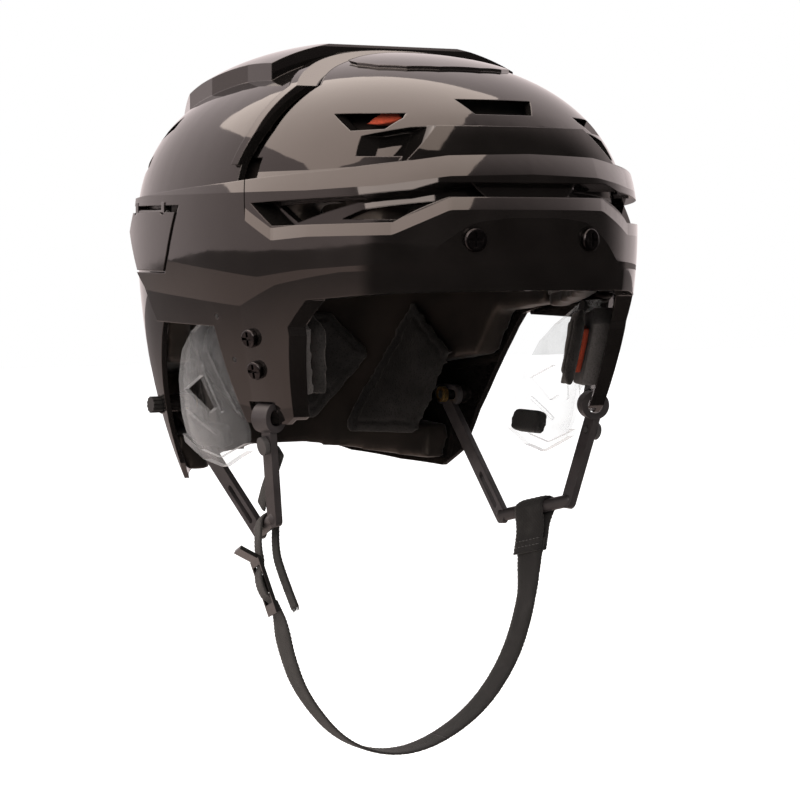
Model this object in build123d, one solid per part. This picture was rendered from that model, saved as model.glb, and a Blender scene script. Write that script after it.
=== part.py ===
from build123d import *
from functools import lru_cache
from math import copysign, cos, radians, sin, sqrt, tan
import os

os.makedirs("parts", exist_ok=True)

# Ice hockey helmet in two sliding halves. Millimetres, +Z up, the face looks along -Y,
# +X is the wearer's left. The origin is the centre of the head opening, level with the brow rim.

# Overall form: a rounded form whose level sections are nearly elliptical
half_width = 111.0
front_half_length = 137.0
rear_half_length = 141.0
crown_height = 118.0
widest_height = 30.0
front_lower_reach = 180.0
rear_lower_reach = 205.0
plan_power = 2.2
crown_power = 2.3
lower_power = 2.0
ring_leans = (-60, -50, -42, -34, -26, -17, -8, 0, 12, 24, 36, 48, 60, 70, 78, 84)
ring_points = 28

# Shell walls, as steps in from the overall form
shell_wall = 3.0
dome_inset = 5.0
recess_inset = 11.0
crown_plate_rise = 1.4
rear_inset = 5.0
lip_rise = 2.0
spine_rise = 7.0
spine_solid_back = 12.0
clearance = 0.3
foam_gap = 0.4

# Length adjustment
slide_forward = 6.0
slide_back = 6.0
channel = 8.0
lip_width = 4.5
peg_radius = 2.4
peg_head_radius = 4.2
peg_head_height = 1.6
peg_across = 30.0

# Side latches
latch_rise = 0.5
latch_wall = 2.7
latch_pin_radius = 1.0
latch_pin_play = 0.2
latch_knuckle_radius = 1.9
latch_pin_inset = 1.9
lug_length = 3.6
rack_wall = 1.7
rack_tooth = 0.8
rack_pocket = 1.4

# Fasteners
screw_head_radius = 5.2
screw_head_height = 2.4
screw_shank_radius = 2.4
screw_length = 12.0
screw_seat = 0.1
screw_recess_width = 1.3
screw_recess_length = 6.4
screw_recess_depth = 1.3
side_screw_head_radius = 4.3
nut_flange_radius = 6.0
nut_flange_height = 1.2
nut_barrel_radius = 3.6
nut_play = 0.1
brow_screw_across = 30.0

# Ear guards
guard_inset = 5.6
guard_wall = 2.5
guard_rib_rise = 1.2
guard_rib_width = 1.6
guard_rim_rise = 2.2
guard_peg_radius = 2.0
guard_peg_head = 3.2
guard_pad_length = 24.0
guard_pad_height = 11.0
guard_pad_depth = 6.0

# Ear loops and their hinge line
bar_height = 5.5
slot_height = 4.5
hook_gap = 0.7
hook_wall = 3.0
hook_width = 9.0
arm_width = 8.0
arm_thickness = 3.5
bar_radius = 3.1
button_radius = 4.2
button_height = 2.4
button_stem_radius = 1.6
arm_slot_length = 22.0
arm_slot_width = 3.0
tab_thickness = 3.0
tab_margin = 2.5
post_radius = 2.0
post_play = 0.6
post_gap = 1.0
knob_radius = 4.0
knob_height = 5.5
insert_height = 2.8
boss_radius = 4.6

# Webbing
webbing_width = 16.0
webbing_thickness = 1.6
wrap_gap = 0.3
buckle_length = 28.0
buckle_wall = 1.8
buckle_lip_length = 10.6
buckle_side = 2.5
buckle_slot = 5.2
buckle_first_slot = 6.0
buckle_second_slot = 20.0

# Foam and pads
liner_outer = 14.4
liner_inner = 26.0
rear_liner_outer = 8.4
rear_liner_inner = 22.0
pad_thickness = 7.0
pad_border = 4.0
pad_border_share = 0.6
temple_block_inner = 16.0
temple_insert_wall = 3.2
temple_cushion_wall = 6.0
vent_insert_across = 44.0

# Every side outline holds (forward, up): forward as a share of the half length on that side,
# up as a share of the crown height above the brow rim.
seam_shares = [(0.073, 1.102), (0.182, 0.975), (0.394, 0.805), (0.401, 0.627), (0.383, 0.5)]
upper_shares = [(0.409, 0.39), (0.409, -0.695), (1.102, -0.695), (1.102, 1.102)]
band_shares = [
    (1.102, 0.034), (0.818, 0.017), (0.701, 0), (0.635, -0.008), (0.562, -0.11), (0.562, -0.144),
    (0.504, -0.453), (0.467, -0.483), (0.299, -0.483), (0.241, -0.114), (-0.163, -0.108),
    (-0.248, 0.025), (-0.333, 0.085), (-0.052, 0.085), (-0.018, 0.153), (0.058, 0.349),
    (-0.348, 0.349), (-0.348, 0.381), (-0.191, 0.394), (0.328, 0.432), (0.715, 0.475),
    (0.866, 0.508), (1.102, 0.508)]
groove_shares = [
    (0.445, 0.353), (0.533, 0.267), (0.861, 0.28), (0.942, 0.373), (1.102, 0.373), (1.102, 0.424),
    (0.923, 0.427), (0.887, 0.398), (0.766, 0.376)]
recess_shares = [
    (0.445, 0.353), (0.533, 0.267), (0.861, 0.28), (0.942, 0.373), (0.923, 0.427), (0.887, 0.398),
    (0.766, 0.376)]
cheek_recess_shares = [(0.69, 0.6), (0.77, 0.632), (0.84, 0.64), (0.838, 0.523), (0.71, 0.524)]
tongue_shares = [
    (1.102, 0.355), (1.102, 1.102), (-0.099, 1.102), (-0.099, 0.831), (0.102, 0.746), (0.175, 0.593),
    (0.175, 0.203), (0.885, 0.203), (0.885, 0.262), (0.965, 0.355)]
thin_edge_shares = [
    [(0.409, 0.254), (-0.638, 0.254), (-0.638, 0.525), (0.409, 0.525)],
    [(0.219, -0.169), (-0.638, -0.169), (-0.638, 0.525), (0.219, 0.525)],
    [(0.489, -0.542), (0.277, -0.542), (0.277, -0.373), (0.489, -0.373)],
    [(0.36, 0.03), (0.18, 0.03), (0.18, -0.5), (0.36, -0.5)]]
lower_vent_shares = [
    [(0.467, 0.343), (0.54, 0.28), (0.73, 0.364)],
    [(0.672, 0.292), (0.723, 0.326), (0.905, 0.369), (0.854, 0.292)]]
cheek_vent_shares = [(0.564, 0.686), (0.727, 0.686), (0.735, 0.668), (0.728, 0.626), (0.652, 0.62)]
rear_shares = [
    (0.325, 0.426), (-0.191, 0.384), (-0.355, 0.371), (-0.397, 0.339), (-0.355, 0.28), (-0.085, 0.28),
    (-0.085, -0.076), (-0.17, -0.102), (-0.206, -0.161), (-0.255, -0.271), (-0.291, -0.373),
    (-0.333, -0.525), (-0.355, -0.7), (-0.411, -0.77), (-0.566, -0.752), (-0.702, -0.717),
    (-0.79, -0.66), (-0.85, -0.61), (-1.135, -0.61), (-1.135, 1.102)]
rear_vent_shares = [
    [(-0.312, 0.712), (-0.496, 0.644), (-0.496, 0.602), (-0.312, 0.661)],
    [(-0.426, 0.559), (-0.652, 0.492), (-0.652, 0.441), (-0.426, 0.508)]]
latch_shares = [
    (0.036, 0.322), (-0.028, 0.157), (-0.058, 0.092), (-0.312, 0.093), (-0.411, 0.246), (-0.355, 0.322)]
latch_foot_shares = [(-0.1, 0.13), (-0.1, 0.2), (-0.28, 0.2), (-0.28, 0.13)]
rack_shares = [(-0.115, 0.115), (-0.115, 0.225), (-0.3, 0.225), (-0.3, 0.115)]
front_liner_shares = [
    (1.102, 0.068), (0.672, 0.068), (0.569, 0.017), (0.336, -0.034), (0.175, -0.068), (0.175, 0.593),
    (0.102, 0.746), (-0.099, 0.831), (-0.099, 1.102), (1.102, 1.102)]
rear_liner_shares = [
    (-0.17, 1.102), (-0.17, 0.831), (0.029, 0.737), (0.102, 0.576), (0.102, -0.051), (-0.199, -0.093),
    (-0.27, -0.28), (-0.567, -0.339), (-0.567, -0.57), (-0.43, -0.59), (-0.4, -0.74), (-0.566, -0.722),
    (-0.702, -0.687), (-0.79, -0.63), (-0.85, -0.58), (-1.135, -0.58), (-1.135, 1.102)]
brow_pad_shares = [(1.102, 0.085), (0.526, 0.085), (0.555, 0.305), (1.102, 0.305)]
side_pad_shares = [(0.482, 0.034), (0.219, -0.017), (0.219, 0.322), (0.482, 0.373)]
temple_block_shares = [(0.526, -0.119), (0.489, -0.373), (0.358, -0.373), (0.358, -0.085), (0.482, -0.059)]
temple_insert_shares = [(0.482, -0.144), (0.453, -0.322), (0.394, -0.322), (0.394, -0.127)]
vent_insert_shares = [(0.71, 0.7), (0.64, 0.71), (0.64, 0.65), (0.66, 0.64), (0.685, 0.65), (0.71, 0.68)]
guard_shares = [
    (0.336, -0.03), (0.204, -0.04), (0.029, -0.144), (-0.057, -0.22), (-0.121, -0.339),
    (-0.156, -0.475), (-0.156, -0.576), (-0.035, -0.636), (0.088, -0.657), (0.248, -0.585),
    (0.268, -0.52), (0.255, -0.41), (0.343, -0.34)]
guard_window_shares = [(-0.083, -0.375), (0.047, -0.315), (0.106, -0.438), (0.063, -0.462)]
guard_rim_shares = [
    (-0.156, -0.593), (-0.035, -0.653), (0.088, -0.674), (0.263, -0.597), (0.263, -0.568),
    (0.088, -0.636), (-0.035, -0.614), (-0.156, -0.559)]
guard_rib_shares = [
    [(0.129, -0.192), (0.253, -0.447)], [(0.089, -0.272), (0.161, -0.452)], [(-0.082, -0.46), (0.088, -0.54)]]
guard_peg_shares = [(0.262, -0.075), (0.318, -0.24)]
guard_pad_shares = [(0.0, -0.56)]
temple_screw_shares = [(0.413, -0.155), (0.411, -0.277)]
ledge_tail_up_share = 0.349

# Front outlines hold (across, up) as shares of the half width and the crown height
brow_panel_shares = [
    (-0.52, 0.43), (-0.49, 0.51), (-0.35, 0.638), (0.35, 0.638), (0.49, 0.51), (0.52, 0.43)]
front_vent_shares = [(-0.18, 0.742), (0.18, 0.742), (0.135, 0.685), (-0.135, 0.685)]
rear_pad_shares = [
    (0.321, -0.633), (0.54, -0.638), (0.61, -0.46), (0.62, -0.42), (0.67, -0.269), (0.6, -0.06),
    (0.488, -0.306), (0.318, -0.582)]
nape_pad_shares = [
    (-0.189, -0.576), (0.189, -0.576), (0.378, -0.381), (0.45, -0.28), (0.306, -0.102),
    (-0.306, -0.102), (-0.45, -0.28), (-0.378, -0.381)]

# Raised spine of the rear shell: its side line, then its plan outline as (across, forward)
spine_line_shares = [(0.12, 0.99), (0.0, 0.995), (-0.15, 0.992), (-0.319, 0.98), (-0.5, 0.955), (-0.7, 0.9), (-0.9, 0.8)]
spine_shares = [
    (-0.6, 0.15), (-0.6, -0.05), (-0.64, -0.25), (-0.62, -0.45), (-0.52, -0.65), (-0.35, -0.8),
    (-0.12, -0.87), (0.12, -0.87), (0.35, -0.8), (0.52, -0.65), (0.62, -0.45), (0.64, -0.25),
    (0.6, -0.05), (0.6, 0.15)]
spine_length_share = 0.95

# Plan outlines hold (across, forward)
crown_plate_shares = [
    (-0.36, 0.2), (-0.36, 0.36), (-0.32, 0.44), (-0.23, 0.505), (-0.1, 0.54), (0.1, 0.54),
    (0.23, 0.505), (0.32, 0.44), (0.36, 0.36), (0.36, 0.2)]
crown_pad_shares = [(-0.32, -0.05), (-0.32, 0.35), (-0.18, 0.47), (0.18, 0.47), (0.32, 0.35), (0.32, -0.05)]
brow_screw_up_share = 0.215
hook_fore_share = 0.394
hook_up_share = -0.46
post_fore_share = -0.404

# Bends of the ear loop, held as (across, forward, up)
front_bend_shares = (0.7297, 0.3285, -0.856)
rear_bend_shares = (0.6126, 0.0438, -0.9407)

# Webbing routes in the chin strap's own upright plane, held as (across, up)
strap_shares = [
    (0.6425, -1.0975), (0.627, -1.288), (0.532, -1.538), (0.329, -1.75), (0.009, -1.873),
    (-0.297, -1.809), (-0.509, -1.589), (-0.586, -1.403), (-0.6081, -1.288)]
buckle_shares = [(-0.727, -1.0305), (-0.6396, -1.2542)]
tail_shares = [(-0.633, -0.987), (-0.616, -1.068), (-0.539, -1.237)]
corner_share = 0.45
sharpest_share = 0.3
lip_run_share = 0.75
lip_rise_share = 0.66

trim_reach = 1.5 * half_width
step = half_width / 1000


def half_length(y):
    return front_half_length if y < 0 else rear_half_length


def fullness(x, y, z, inset, reach):
    """Value that is one on the form set in by inset, and less inside it."""
    rise = z - widest_height
    depth = crown_height - widest_height - inset if rise > 0 else reach
    power = crown_power if rise > 0 else lower_power
    plan = abs(x / (half_width - inset)) ** plan_power
    plan += abs(y / (half_length(y) - inset)) ** plan_power
    return plan ** (power / plan_power) + abs(rise / depth) ** power


def level_share(z, inset, reach):
    rise = z - widest_height
    depth = crown_height - widest_height - inset if rise > 0 else reach
    power = crown_power if rise > 0 else lower_power
    return max(0.0, 1 - abs(rise / depth) ** power) ** (1 / power)


def side_point(y, z, inset=0.0, reach=front_lower_reach):
    """Point of the form at a side place, on the wearer's left."""
    share = level_share(z, inset, reach)
    length = (half_length(y) - inset) * share
    width = (half_width - inset) * share
    x = width * max(0.0, 1 - abs(y / length) ** plan_power) ** (1 / plan_power)
    return Vector(x, y, z)


def front_point(x, z, inset=0.0, reach=front_lower_reach):
    share = level_share(z, inset, reach)
    length = (front_half_length - inset) * share
    width = (half_width - inset) * share
    y = -length * max(0.0, 1 - abs(x / width) ** plan_power) ** (1 / plan_power)
    return Vector(x, y, z)


def outward(point, inset=0.0, reach=front_lower_reach):
    """Unit normal of the form at a point."""
    steps = []
    for axis in ((step, 0, 0), (0, step, 0), (0, 0, step)):
        ahead = point + Vector(*axis)
        behind = point - Vector(*axis)
        steps.append(fullness(*ahead, inset, reach) - fullness(*behind, inset, reach))
    return Vector(*steps).normalized()


def seat_plane(point, inset=0.0, reach=front_lower_reach):
    return Plane(origin=point, z_dir=outward(point, inset, reach))


def ring(lean, inset, reach):
    """Closed level section of the form at one lean angle from the widest level."""
    turn = radians(abs(lean))
    power = crown_power if lean > 0 else lower_power
    depth = crown_height - widest_height - inset if lean > 0 else reach
    z = widest_height + copysign(depth * sin(turn) ** (2 / power), lean)
    share = cos(turn) ** (2 / power)
    points = []
    for index in range(ring_points):
        angle = radians(360 * index / ring_points + 90)
        across = copysign(abs(cos(angle)) ** (2 / plan_power), cos(angle))
        along = copysign(abs(sin(angle)) ** (2 / plan_power), sin(angle))
        length = half_length(along) - inset
        points.append((across * share * (half_width - inset), along * share * length, z))
    return Wire([Spline(*points, periodic=True).edge()])


@lru_cache(maxsize=None)
def form(inset, reach=front_lower_reach):
    return Solid.make_loft([ring(lean, inset, reach) for lean in ring_leans], False)


def layer(outer, inner, reach=front_lower_reach):
    return form(outer, reach) - form(inner, reach)


def side_points(shares):
    return [(-fore * half_length(-fore), up * crown_height) for fore, up in shares]


def front_points(shares):
    return [(across * half_width, up * crown_height) for across, up in shares]


def moved_back(points, distance):
    return [(y + distance, z) for y, z in points]


def side_face(points):
    return Face(Wire.make_polygon([Vector(0, y, z) for y, z in points], close=True))


def side_prism(face):
    """Prism of a side outline right across the helmet."""
    placed = face.moved(Location((-trim_reach, 0, 0)))
    return extrude(placed, amount=2 * trim_reach, dir=(1, 0, 0))


def side_cut(shares):
    return side_prism(side_face(side_points(shares)))


def left_cut(points):
    """Prism of a side outline from the middle to the wearer's left."""
    return extrude(side_face(points), amount=trim_reach, dir=(1, 0, 0))


def front_face(shares):
    points = [Vector(x, 0, z) for x, z in front_points(shares)]
    return Face(Wire.make_polygon(points, close=True))


def front_cut(shares):
    """Prism of a front outline, ahead of the middle."""
    return extrude(front_face(shares), amount=trim_reach, dir=(0, -1, 0))


def plan_face(shares):
    points = [Vector(across * half_width, -fore * half_length(-fore), 0) for across, fore in shares]
    return Face(Wire.make_polygon(points, close=True))


def plan_cut(shares):
    return extrude(plan_face(shares), amount=2 * crown_height, dir=(0, 0, 1))


def rod(start, end, radius):
    start = Vector(*start)
    end = Vector(*end)
    return Solid.make_cylinder(radius, (end - start).length, Plane(origin=start, z_dir=end - start))


def link(start, end, flat, width, thickness):
    """Flat bar between two points with round ends; flat is the direction of its width."""
    start = Vector(*start)
    end = Vector(*end)
    run = (end - start).normalized()
    face_normal = run.cross(Vector(*flat)).normalized()
    plane = Plane(origin=(start + end) / 2, x_dir=run, z_dir=face_normal)
    outline = plane * SlotOverall((end - start).length + width, width)
    return extrude(outline, amount=thickness / 2, both=True)


def mirrored(shape):
    return mirror(shape, about=Plane.YZ)


def save(name, shape):
    solids = shape.solids()
    export_step(Compound(list(solids)) if len(solids) > 1 else solids[0], "parts/" + name + ".step")


def save_pair(name, shape):
    """Write the wearer's left piece, and its mirror image for the right."""
    save(name + "_left", shape)
    save(name + "_right", mirrored(shape))


# Places that several pieces share
hook_y = -hook_fore_share * front_half_length
hook_z = hook_up_share * crown_height
hook_centre = side_point(hook_y, hook_z, shell_wall / 2)
hook_radius = sqrt((bar_height / 2) ** 2 + (shell_wall / 2) ** 2) + hook_gap
post_y = -post_fore_share * rear_half_length
post_z = hook_z
slot_travel = slide_forward + slide_back
tab_half = slot_travel / 2 + post_radius + post_play + tab_margin
tab_x = side_point(post_y + tab_half + slide_forward, post_z, rear_inset + shell_wall, rear_lower_reach).X
tab_x -= clearance + tab_thickness / 2
post_centre = Vector(tab_x, post_y, post_z)
loop_scale = Vector(half_width, -front_half_length, crown_height)
front_bend = Vector(*[share * size for share, size in zip(front_bend_shares, loop_scale)])
rear_bend = Vector(*[share * size for share, size in zip(rear_bend_shares, loop_scale)])
bar_run = (rear_bend - front_bend).normalized()
bar_middle = (front_bend + rear_bend) / 2
turn_radius = bar_radius / bar_run.Y + wrap_gap + webbing_thickness / 2
strap_route = front_points(strap_shares)
latch_points = side_points(latch_shares)
latch_top = latch_points[0][1]
pin_front = side_point(latch_points[2][0], latch_top, latch_pin_inset)
pin_rear = side_point(latch_points[3][0], latch_top, latch_pin_inset)
pin_run = (pin_rear - pin_front).normalized()


# Fasteners
def cross_screw(plane, head_radius, length):
    """Pan head screw with a cross recess, its head's underside just off the plane."""
    plane = plane.offset(screw_seat)
    head = extrude(plane * Circle(head_radius), amount=screw_head_height)
    top_edges = head.edges().group_by(SortBy.LENGTH)[-1].sort_by(plane.location.z_axis)
    head = fillet(top_edges[-1], screw_head_height / 2)
    lower = plane.offset(screw_head_height - screw_recess_depth)
    for turn in (0, 90):
        bar = lower * Rot(0, 0, turn) * Rectangle(screw_recess_length, screw_recess_width)
        head -= extrude(bar, amount=2 * screw_recess_depth)
    return head + extrude(plane * Circle(screw_shank_radius), amount=-length)


def flange_nut(plane, depth):
    """Nut with a flange, seated behind a wall whose outside is the plane."""
    flange_plane = plane.offset(-depth)
    nut = extrude(flange_plane * Circle(nut_flange_radius), amount=-nut_flange_height)
    nut += extrude(flange_plane * Circle(nut_barrel_radius), amount=nut_flange_height - screw_length + depth)
    return nut - extrude(plane * Circle(screw_shank_radius + nut_play), amount=-2 * screw_length)


def screw_hole(plane):
    outer = plane.origin + plane.z_dir * screw_head_height
    return rod(outer, plane.origin - plane.z_dir * screw_length, screw_shank_radius + clearance)


def brow_plane():
    place = front_point(brow_screw_across, brow_screw_up_share * crown_height)
    return seat_plane(place)


def temple_planes():
    return [seat_plane(side_point(y, z)) for y, z in side_points(temple_screw_shares)]


def make_screws():
    brow = cross_screw(brow_plane(), screw_head_radius, screw_length)
    brow_nut = flange_nut(brow_plane(), shell_wall + 2 * clearance)
    save("brow_screws", Compound([brow.solid(), mirrored(brow).solid()]))
    save("brow_nuts", Compound([brow_nut.solid(), mirrored(brow_nut).solid()]))
    screws = [cross_screw(plane, side_screw_head_radius, screw_length).solid() for plane in temple_planes()]
    nuts = [flange_nut(plane, shell_wall + 2 * clearance).solid() for plane in temple_planes()]
    save_pair("temple_screws", Compound(screws))
    save_pair("temple_nuts", Compound(nuts))


# Front shell
def shell_regions():
    """Side regions of the three surface levels, and each set in by the wall."""
    band = side_face(side_points(band_shares)) - side_face(side_points(groove_shares))
    band_inner = offset(band, amount=-shell_wall, kind=Kind.INTERSECTION)
    for shares in thin_edge_shares:
        band_inner += side_face(side_points(shares))
    upper = side_face(side_points(seam_shares) + side_points(upper_shares))
    upper -= side_face(side_points(recess_shares))
    upper -= side_face(side_points(cheek_recess_shares))
    upper_inner = offset(upper, amount=-shell_wall, kind=Kind.INTERSECTION)
    return band, band_inner, upper, upper_inner


def region_prism(region):
    prism = None
    for face in region.faces():
        piece = side_prism(face)
        prism = piece if prism is None else prism + piece
    return prism


def latch_lugs():
    """Two lugs that hold the latch pin under the tail of the ledge."""
    lugs = None
    height = ledge_tail_up_share * crown_height - latch_top + shell_wall / 2
    for end, away in ((pin_front, -1), (pin_rear, 1)):
        start = end + pin_run * (-away * lug_length / 2)
        finish = end + pin_run * (away * lug_length / 2)
        lug = rod(start, finish, latch_knuckle_radius)
        plane = Plane(origin=end, x_dir=pin_run, z_dir=Vector(0, 0, 1))
        lug += extrude(plane * Rectangle(lug_length, 2 * latch_knuckle_radius), amount=height)
        lugs = lug if lugs is None else lugs + lug
    return lugs


def peg_slot(width, depth_top, depth_bottom):
    """Slot that a guide peg runs in, from one inset to another, on the wearer's left."""
    length = slot_travel + 2 * width
    top = side_height(depth_top)
    bottom = side_height(depth_bottom)
    outline = Location((peg_across, 0, bottom)) * SlotOverall(length, 2 * width, rotation=90)
    return extrude(outline, amount=top - bottom)


def side_height(inset):
    """Height of the form over a guide peg."""
    share = (peg_across / (half_width - inset)) ** crown_power
    return widest_height + (crown_height - widest_height - inset) * (1 - share) ** (1 / crown_power)


def make_front_shell():
    band, band_inner, upper, upper_inner = shell_regions()
    outside = form(0.0) & region_prism(band)
    outside += form(dome_inset) & region_prism(upper)
    outside += form(recess_inset) & side_cut(tongue_shares)
    outside += form(0.0) & front_cut(brow_panel_shares)
    inside = form(recess_inset + shell_wall)
    inside += form(shell_wall) & region_prism(band_inner)
    inside += form(dome_inset + shell_wall) & region_prism(upper_inner)
    panel_inner = offset(front_face(brow_panel_shares), amount=-shell_wall, kind=Kind.INTERSECTION)
    inside += form(shell_wall) & extrude(panel_inner, amount=trim_reach, dir=(0, -1, 0))
    shell = outside - inside
    envelope = side_cut(band_shares) + side_cut(tongue_shares)
    shell = shell & envelope
    crown_plate = layer(dome_inset - crown_plate_rise, dome_inset + shell_wall) & plan_cut(crown_plate_shares)
    shell += crown_plate & region_prism(upper_inner)
    for shares in lower_vent_shares:
        shell -= side_cut(shares)
    shell -= side_cut(cheek_vent_shares)
    shell -= front_cut(front_vent_shares)
    shell -= hook_slots()
    for plane in [brow_plane()] + temple_planes():
        hole = screw_hole(plane)
        shell -= hole
        shell -= mirrored(hole)
    for plane in guard_peg_planes():
        hole = extrude(plane * Circle(guard_peg_radius / 2 + clearance), amount=2 * shell_wall, both=True)
        shell -= hole
        shell -= mirrored(hole)
    lugs = latch_lugs() - rod(pin_front - pin_run * lug_length, pin_rear + pin_run * lug_length, latch_pin_radius)
    shell += lugs
    shell += mirrored(lugs)
    slot = peg_slot(peg_radius + clearance, recess_inset - shell_wall, liner_outer + shell_wall)
    shell -= slot
    shell -= mirrored(slot)
    save("front_shell", largest(shell))


def largest(shape):
    return shape.solids().sort_by(SortBy.VOLUME)[-1]


def hook_slots():
    """Slots above the bars that the ear loops hook round."""
    low = hook_z + bar_height / 2
    back = hook_y + hook_width / 2 + 2 * hook_gap + shell_wall / 2
    front = hook_y - hook_width / 2 - 2 * hook_gap - shell_wall / 2
    points = [(front, low), (back, low), (back, low + slot_height), (front, low + slot_height)]
    return side_prism(side_face(points))


# Rear shell
def spine_body(drop, plan):
    """Body within a plan face, under the spine's side line and its rounded shoulders, both lowered."""
    points = side_points(spine_line_shares)
    (front_y, front_z), (back_y, back_z) = points[0], points[-1]
    base = widest_height
    top = Spline(*[(0, y, z - drop) for y, z in points])
    sides = Polyline((0, back_y, back_z - drop), (0, back_y, base), (0, front_y, base), (0, front_y, front_z - drop))
    profile = make_face([top.edge(), *sides.edges()]).moved(Location((-half_width, 0, 0)))
    body = extrude(profile, amount=2 * half_width, dir=(1, 0, 0))
    body = body & extrude(plan, amount=2 * crown_height, dir=(0, 0, 1))
    shoulders = form(rear_inset - spine_rise + drop, rear_lower_reach)
    return body & scale(shoulders, by=(1, spine_length_share, 1))


def spine_hollow():
    """Space under the spine, behind the guide pegs."""
    plan = offset(plan_face(spine_shares), amount=-shell_wall, kind=Kind.INTERSECTION)
    far = 2 * half_width
    behind = [(spine_solid_back, 0), (far, 0), (far, far), (spine_solid_back, far)]
    return spine_body(shell_wall, plan) & side_prism(side_face(behind))


def make_rear_shell():
    seam = moved_back(side_points(seam_shares), channel)
    lip_back = moved_back(side_points(seam_shares), channel + lip_width)
    outline = side_prism(side_face(seam + side_points(rear_shares)))
    inner_form = form(rear_inset + shell_wall, rear_lower_reach)
    shell = (form(rear_inset, rear_lower_reach) + spine_body(0, plan_face(spine_shares))) - inner_form - spine_hollow()
    shell = shell & outline
    lip = side_prism(side_face(seam + lip_back[::-1]))
    lip_layer = layer(rear_inset - lip_rise, rear_inset + shell_wall, rear_lower_reach)
    shell += lip_layer & lip
    for shares in rear_vent_shares:
        shell -= side_cut(shares)
    pocket = left_cut(side_points(rack_shares)) - form(rear_inset + rack_pocket, rear_lower_reach)
    shell -= pocket
    shell -= mirrored(pocket)
    boss = rod(post_inner(), post_skin(), boss_radius)
    hole = rod(post_inner() - Vector(boss_radius, 0, 0), post_skin() + Vector(knob_height, 0, 0), post_radius + clearance)
    face = rod(post_skin(), post_skin() + Vector(knob_height, 0, 0), boss_radius + clearance)
    shell = (shell + boss + mirrored(boss)) - hole - mirrored(hole) - face - mirrored(face)
    peg_top = side_height(rear_inset + shell_wall / 2)
    peg_bottom = side_height(liner_outer + clearance) - peg_head_height
    for across in (peg_across, -peg_across):
        shell -= rod((across, 0, peg_top), (across, 0, peg_bottom), peg_radius / 2 + clearance)
    save("rear_shell", largest(shell))


def post_inner():
    """Inner end of the boss that the ear loop's tab lies against."""
    return post_centre + Vector(tab_thickness / 2 + 2 * clearance, 0, 0)


def post_skin():
    """Outer end of the boss, where the knob sits."""
    x = side_point(post_y, post_z, rear_inset, rear_lower_reach).X
    return Vector(x, post_y, post_z)


def make_guide_pegs():
    """Pegs under the rear shell that run in slots of the front shell's tongue."""
    pegs = []
    for across in (peg_across, -peg_across):
        top = side_height(rear_inset + shell_wall / 2 + clearance)
        seat = side_height(rear_inset + shell_wall + clearance) - shell_wall / 2
        head = side_height(recess_inset + shell_wall + 2 * clearance) - shell_wall / 2
        peg = rod((across, 0, head), (across, 0, top), peg_radius / 2)
        peg += rod((across, 0, head), (across, 0, seat), peg_radius)
        peg += rod((across, 0, head - peg_head_height), (across, 0, head), peg_head_radius)
        pegs.append(peg.solid())
    save("guide_pegs", Compound(pegs))


def make_racks():
    """Toothed strips let into the rear shell under the latches."""
    points = side_points(rack_shares)
    (front, low), (rear, high) = points[0], points[2]
    inner = [
        (front + clearance, low + clearance), (front + clearance, high - clearance),
        (rear - clearance, high - clearance), (rear - clearance, low + clearance)]
    base = rear_inset + rack_pocket - clearance
    rack = layer(base - rack_wall, base, rear_lower_reach) & left_cut(inner)
    pitch = 2 * rack_tooth
    count = int((rear - front) / pitch) - 1
    for index in range(1, count):
        y = front + index * pitch
        tooth = [(y, low), (y, high), (y + rack_tooth, high), (y + rack_tooth, low)]
        rack -= left_cut(tooth) - form(base - rack_wall + rack_tooth, rear_lower_reach)
    save_pair("length_rack", largest(rack))


# Latches
def make_latches():
    plate = layer(-latch_rise, latch_wall - latch_rise) & left_cut(latch_points)
    foot = layer(0.0, latch_wall + clearance) & left_cut(side_points(latch_foot_shares))
    lug_space = None
    for end in (pin_front, pin_rear):
        start = end - pin_run * (lug_length / 2 + clearance)
        finish = end + pin_run * (lug_length / 2 + clearance)
        space = rod(start, finish, latch_knuckle_radius + 2 * clearance)
        plane = Plane(origin=end, x_dir=pin_run, z_dir=Vector(0, 0, 1))
        width = lug_length + 2 * clearance
        space += extrude(plane * Rectangle(width, 4 * latch_knuckle_radius), amount=latch_wall)
        lug_space = space if lug_space is None else lug_space + space
    knuckle_start = pin_front + pin_run * (lug_length / 2 + clearance)
    knuckle_end = pin_rear - pin_run * (lug_length / 2 + clearance)
    knuckle = rod(knuckle_start, knuckle_end, latch_knuckle_radius)
    latch = plate + foot - lug_space + knuckle
    latch -= rod(knuckle_start, knuckle_end, latch_pin_radius + latch_pin_play)
    save_pair("latch", largest(latch))
    pin = rod(pin_front - pin_run * lug_length / 2, pin_rear + pin_run * lug_length / 2, latch_pin_radius)
    save_pair("latch_pin", pin)


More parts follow.
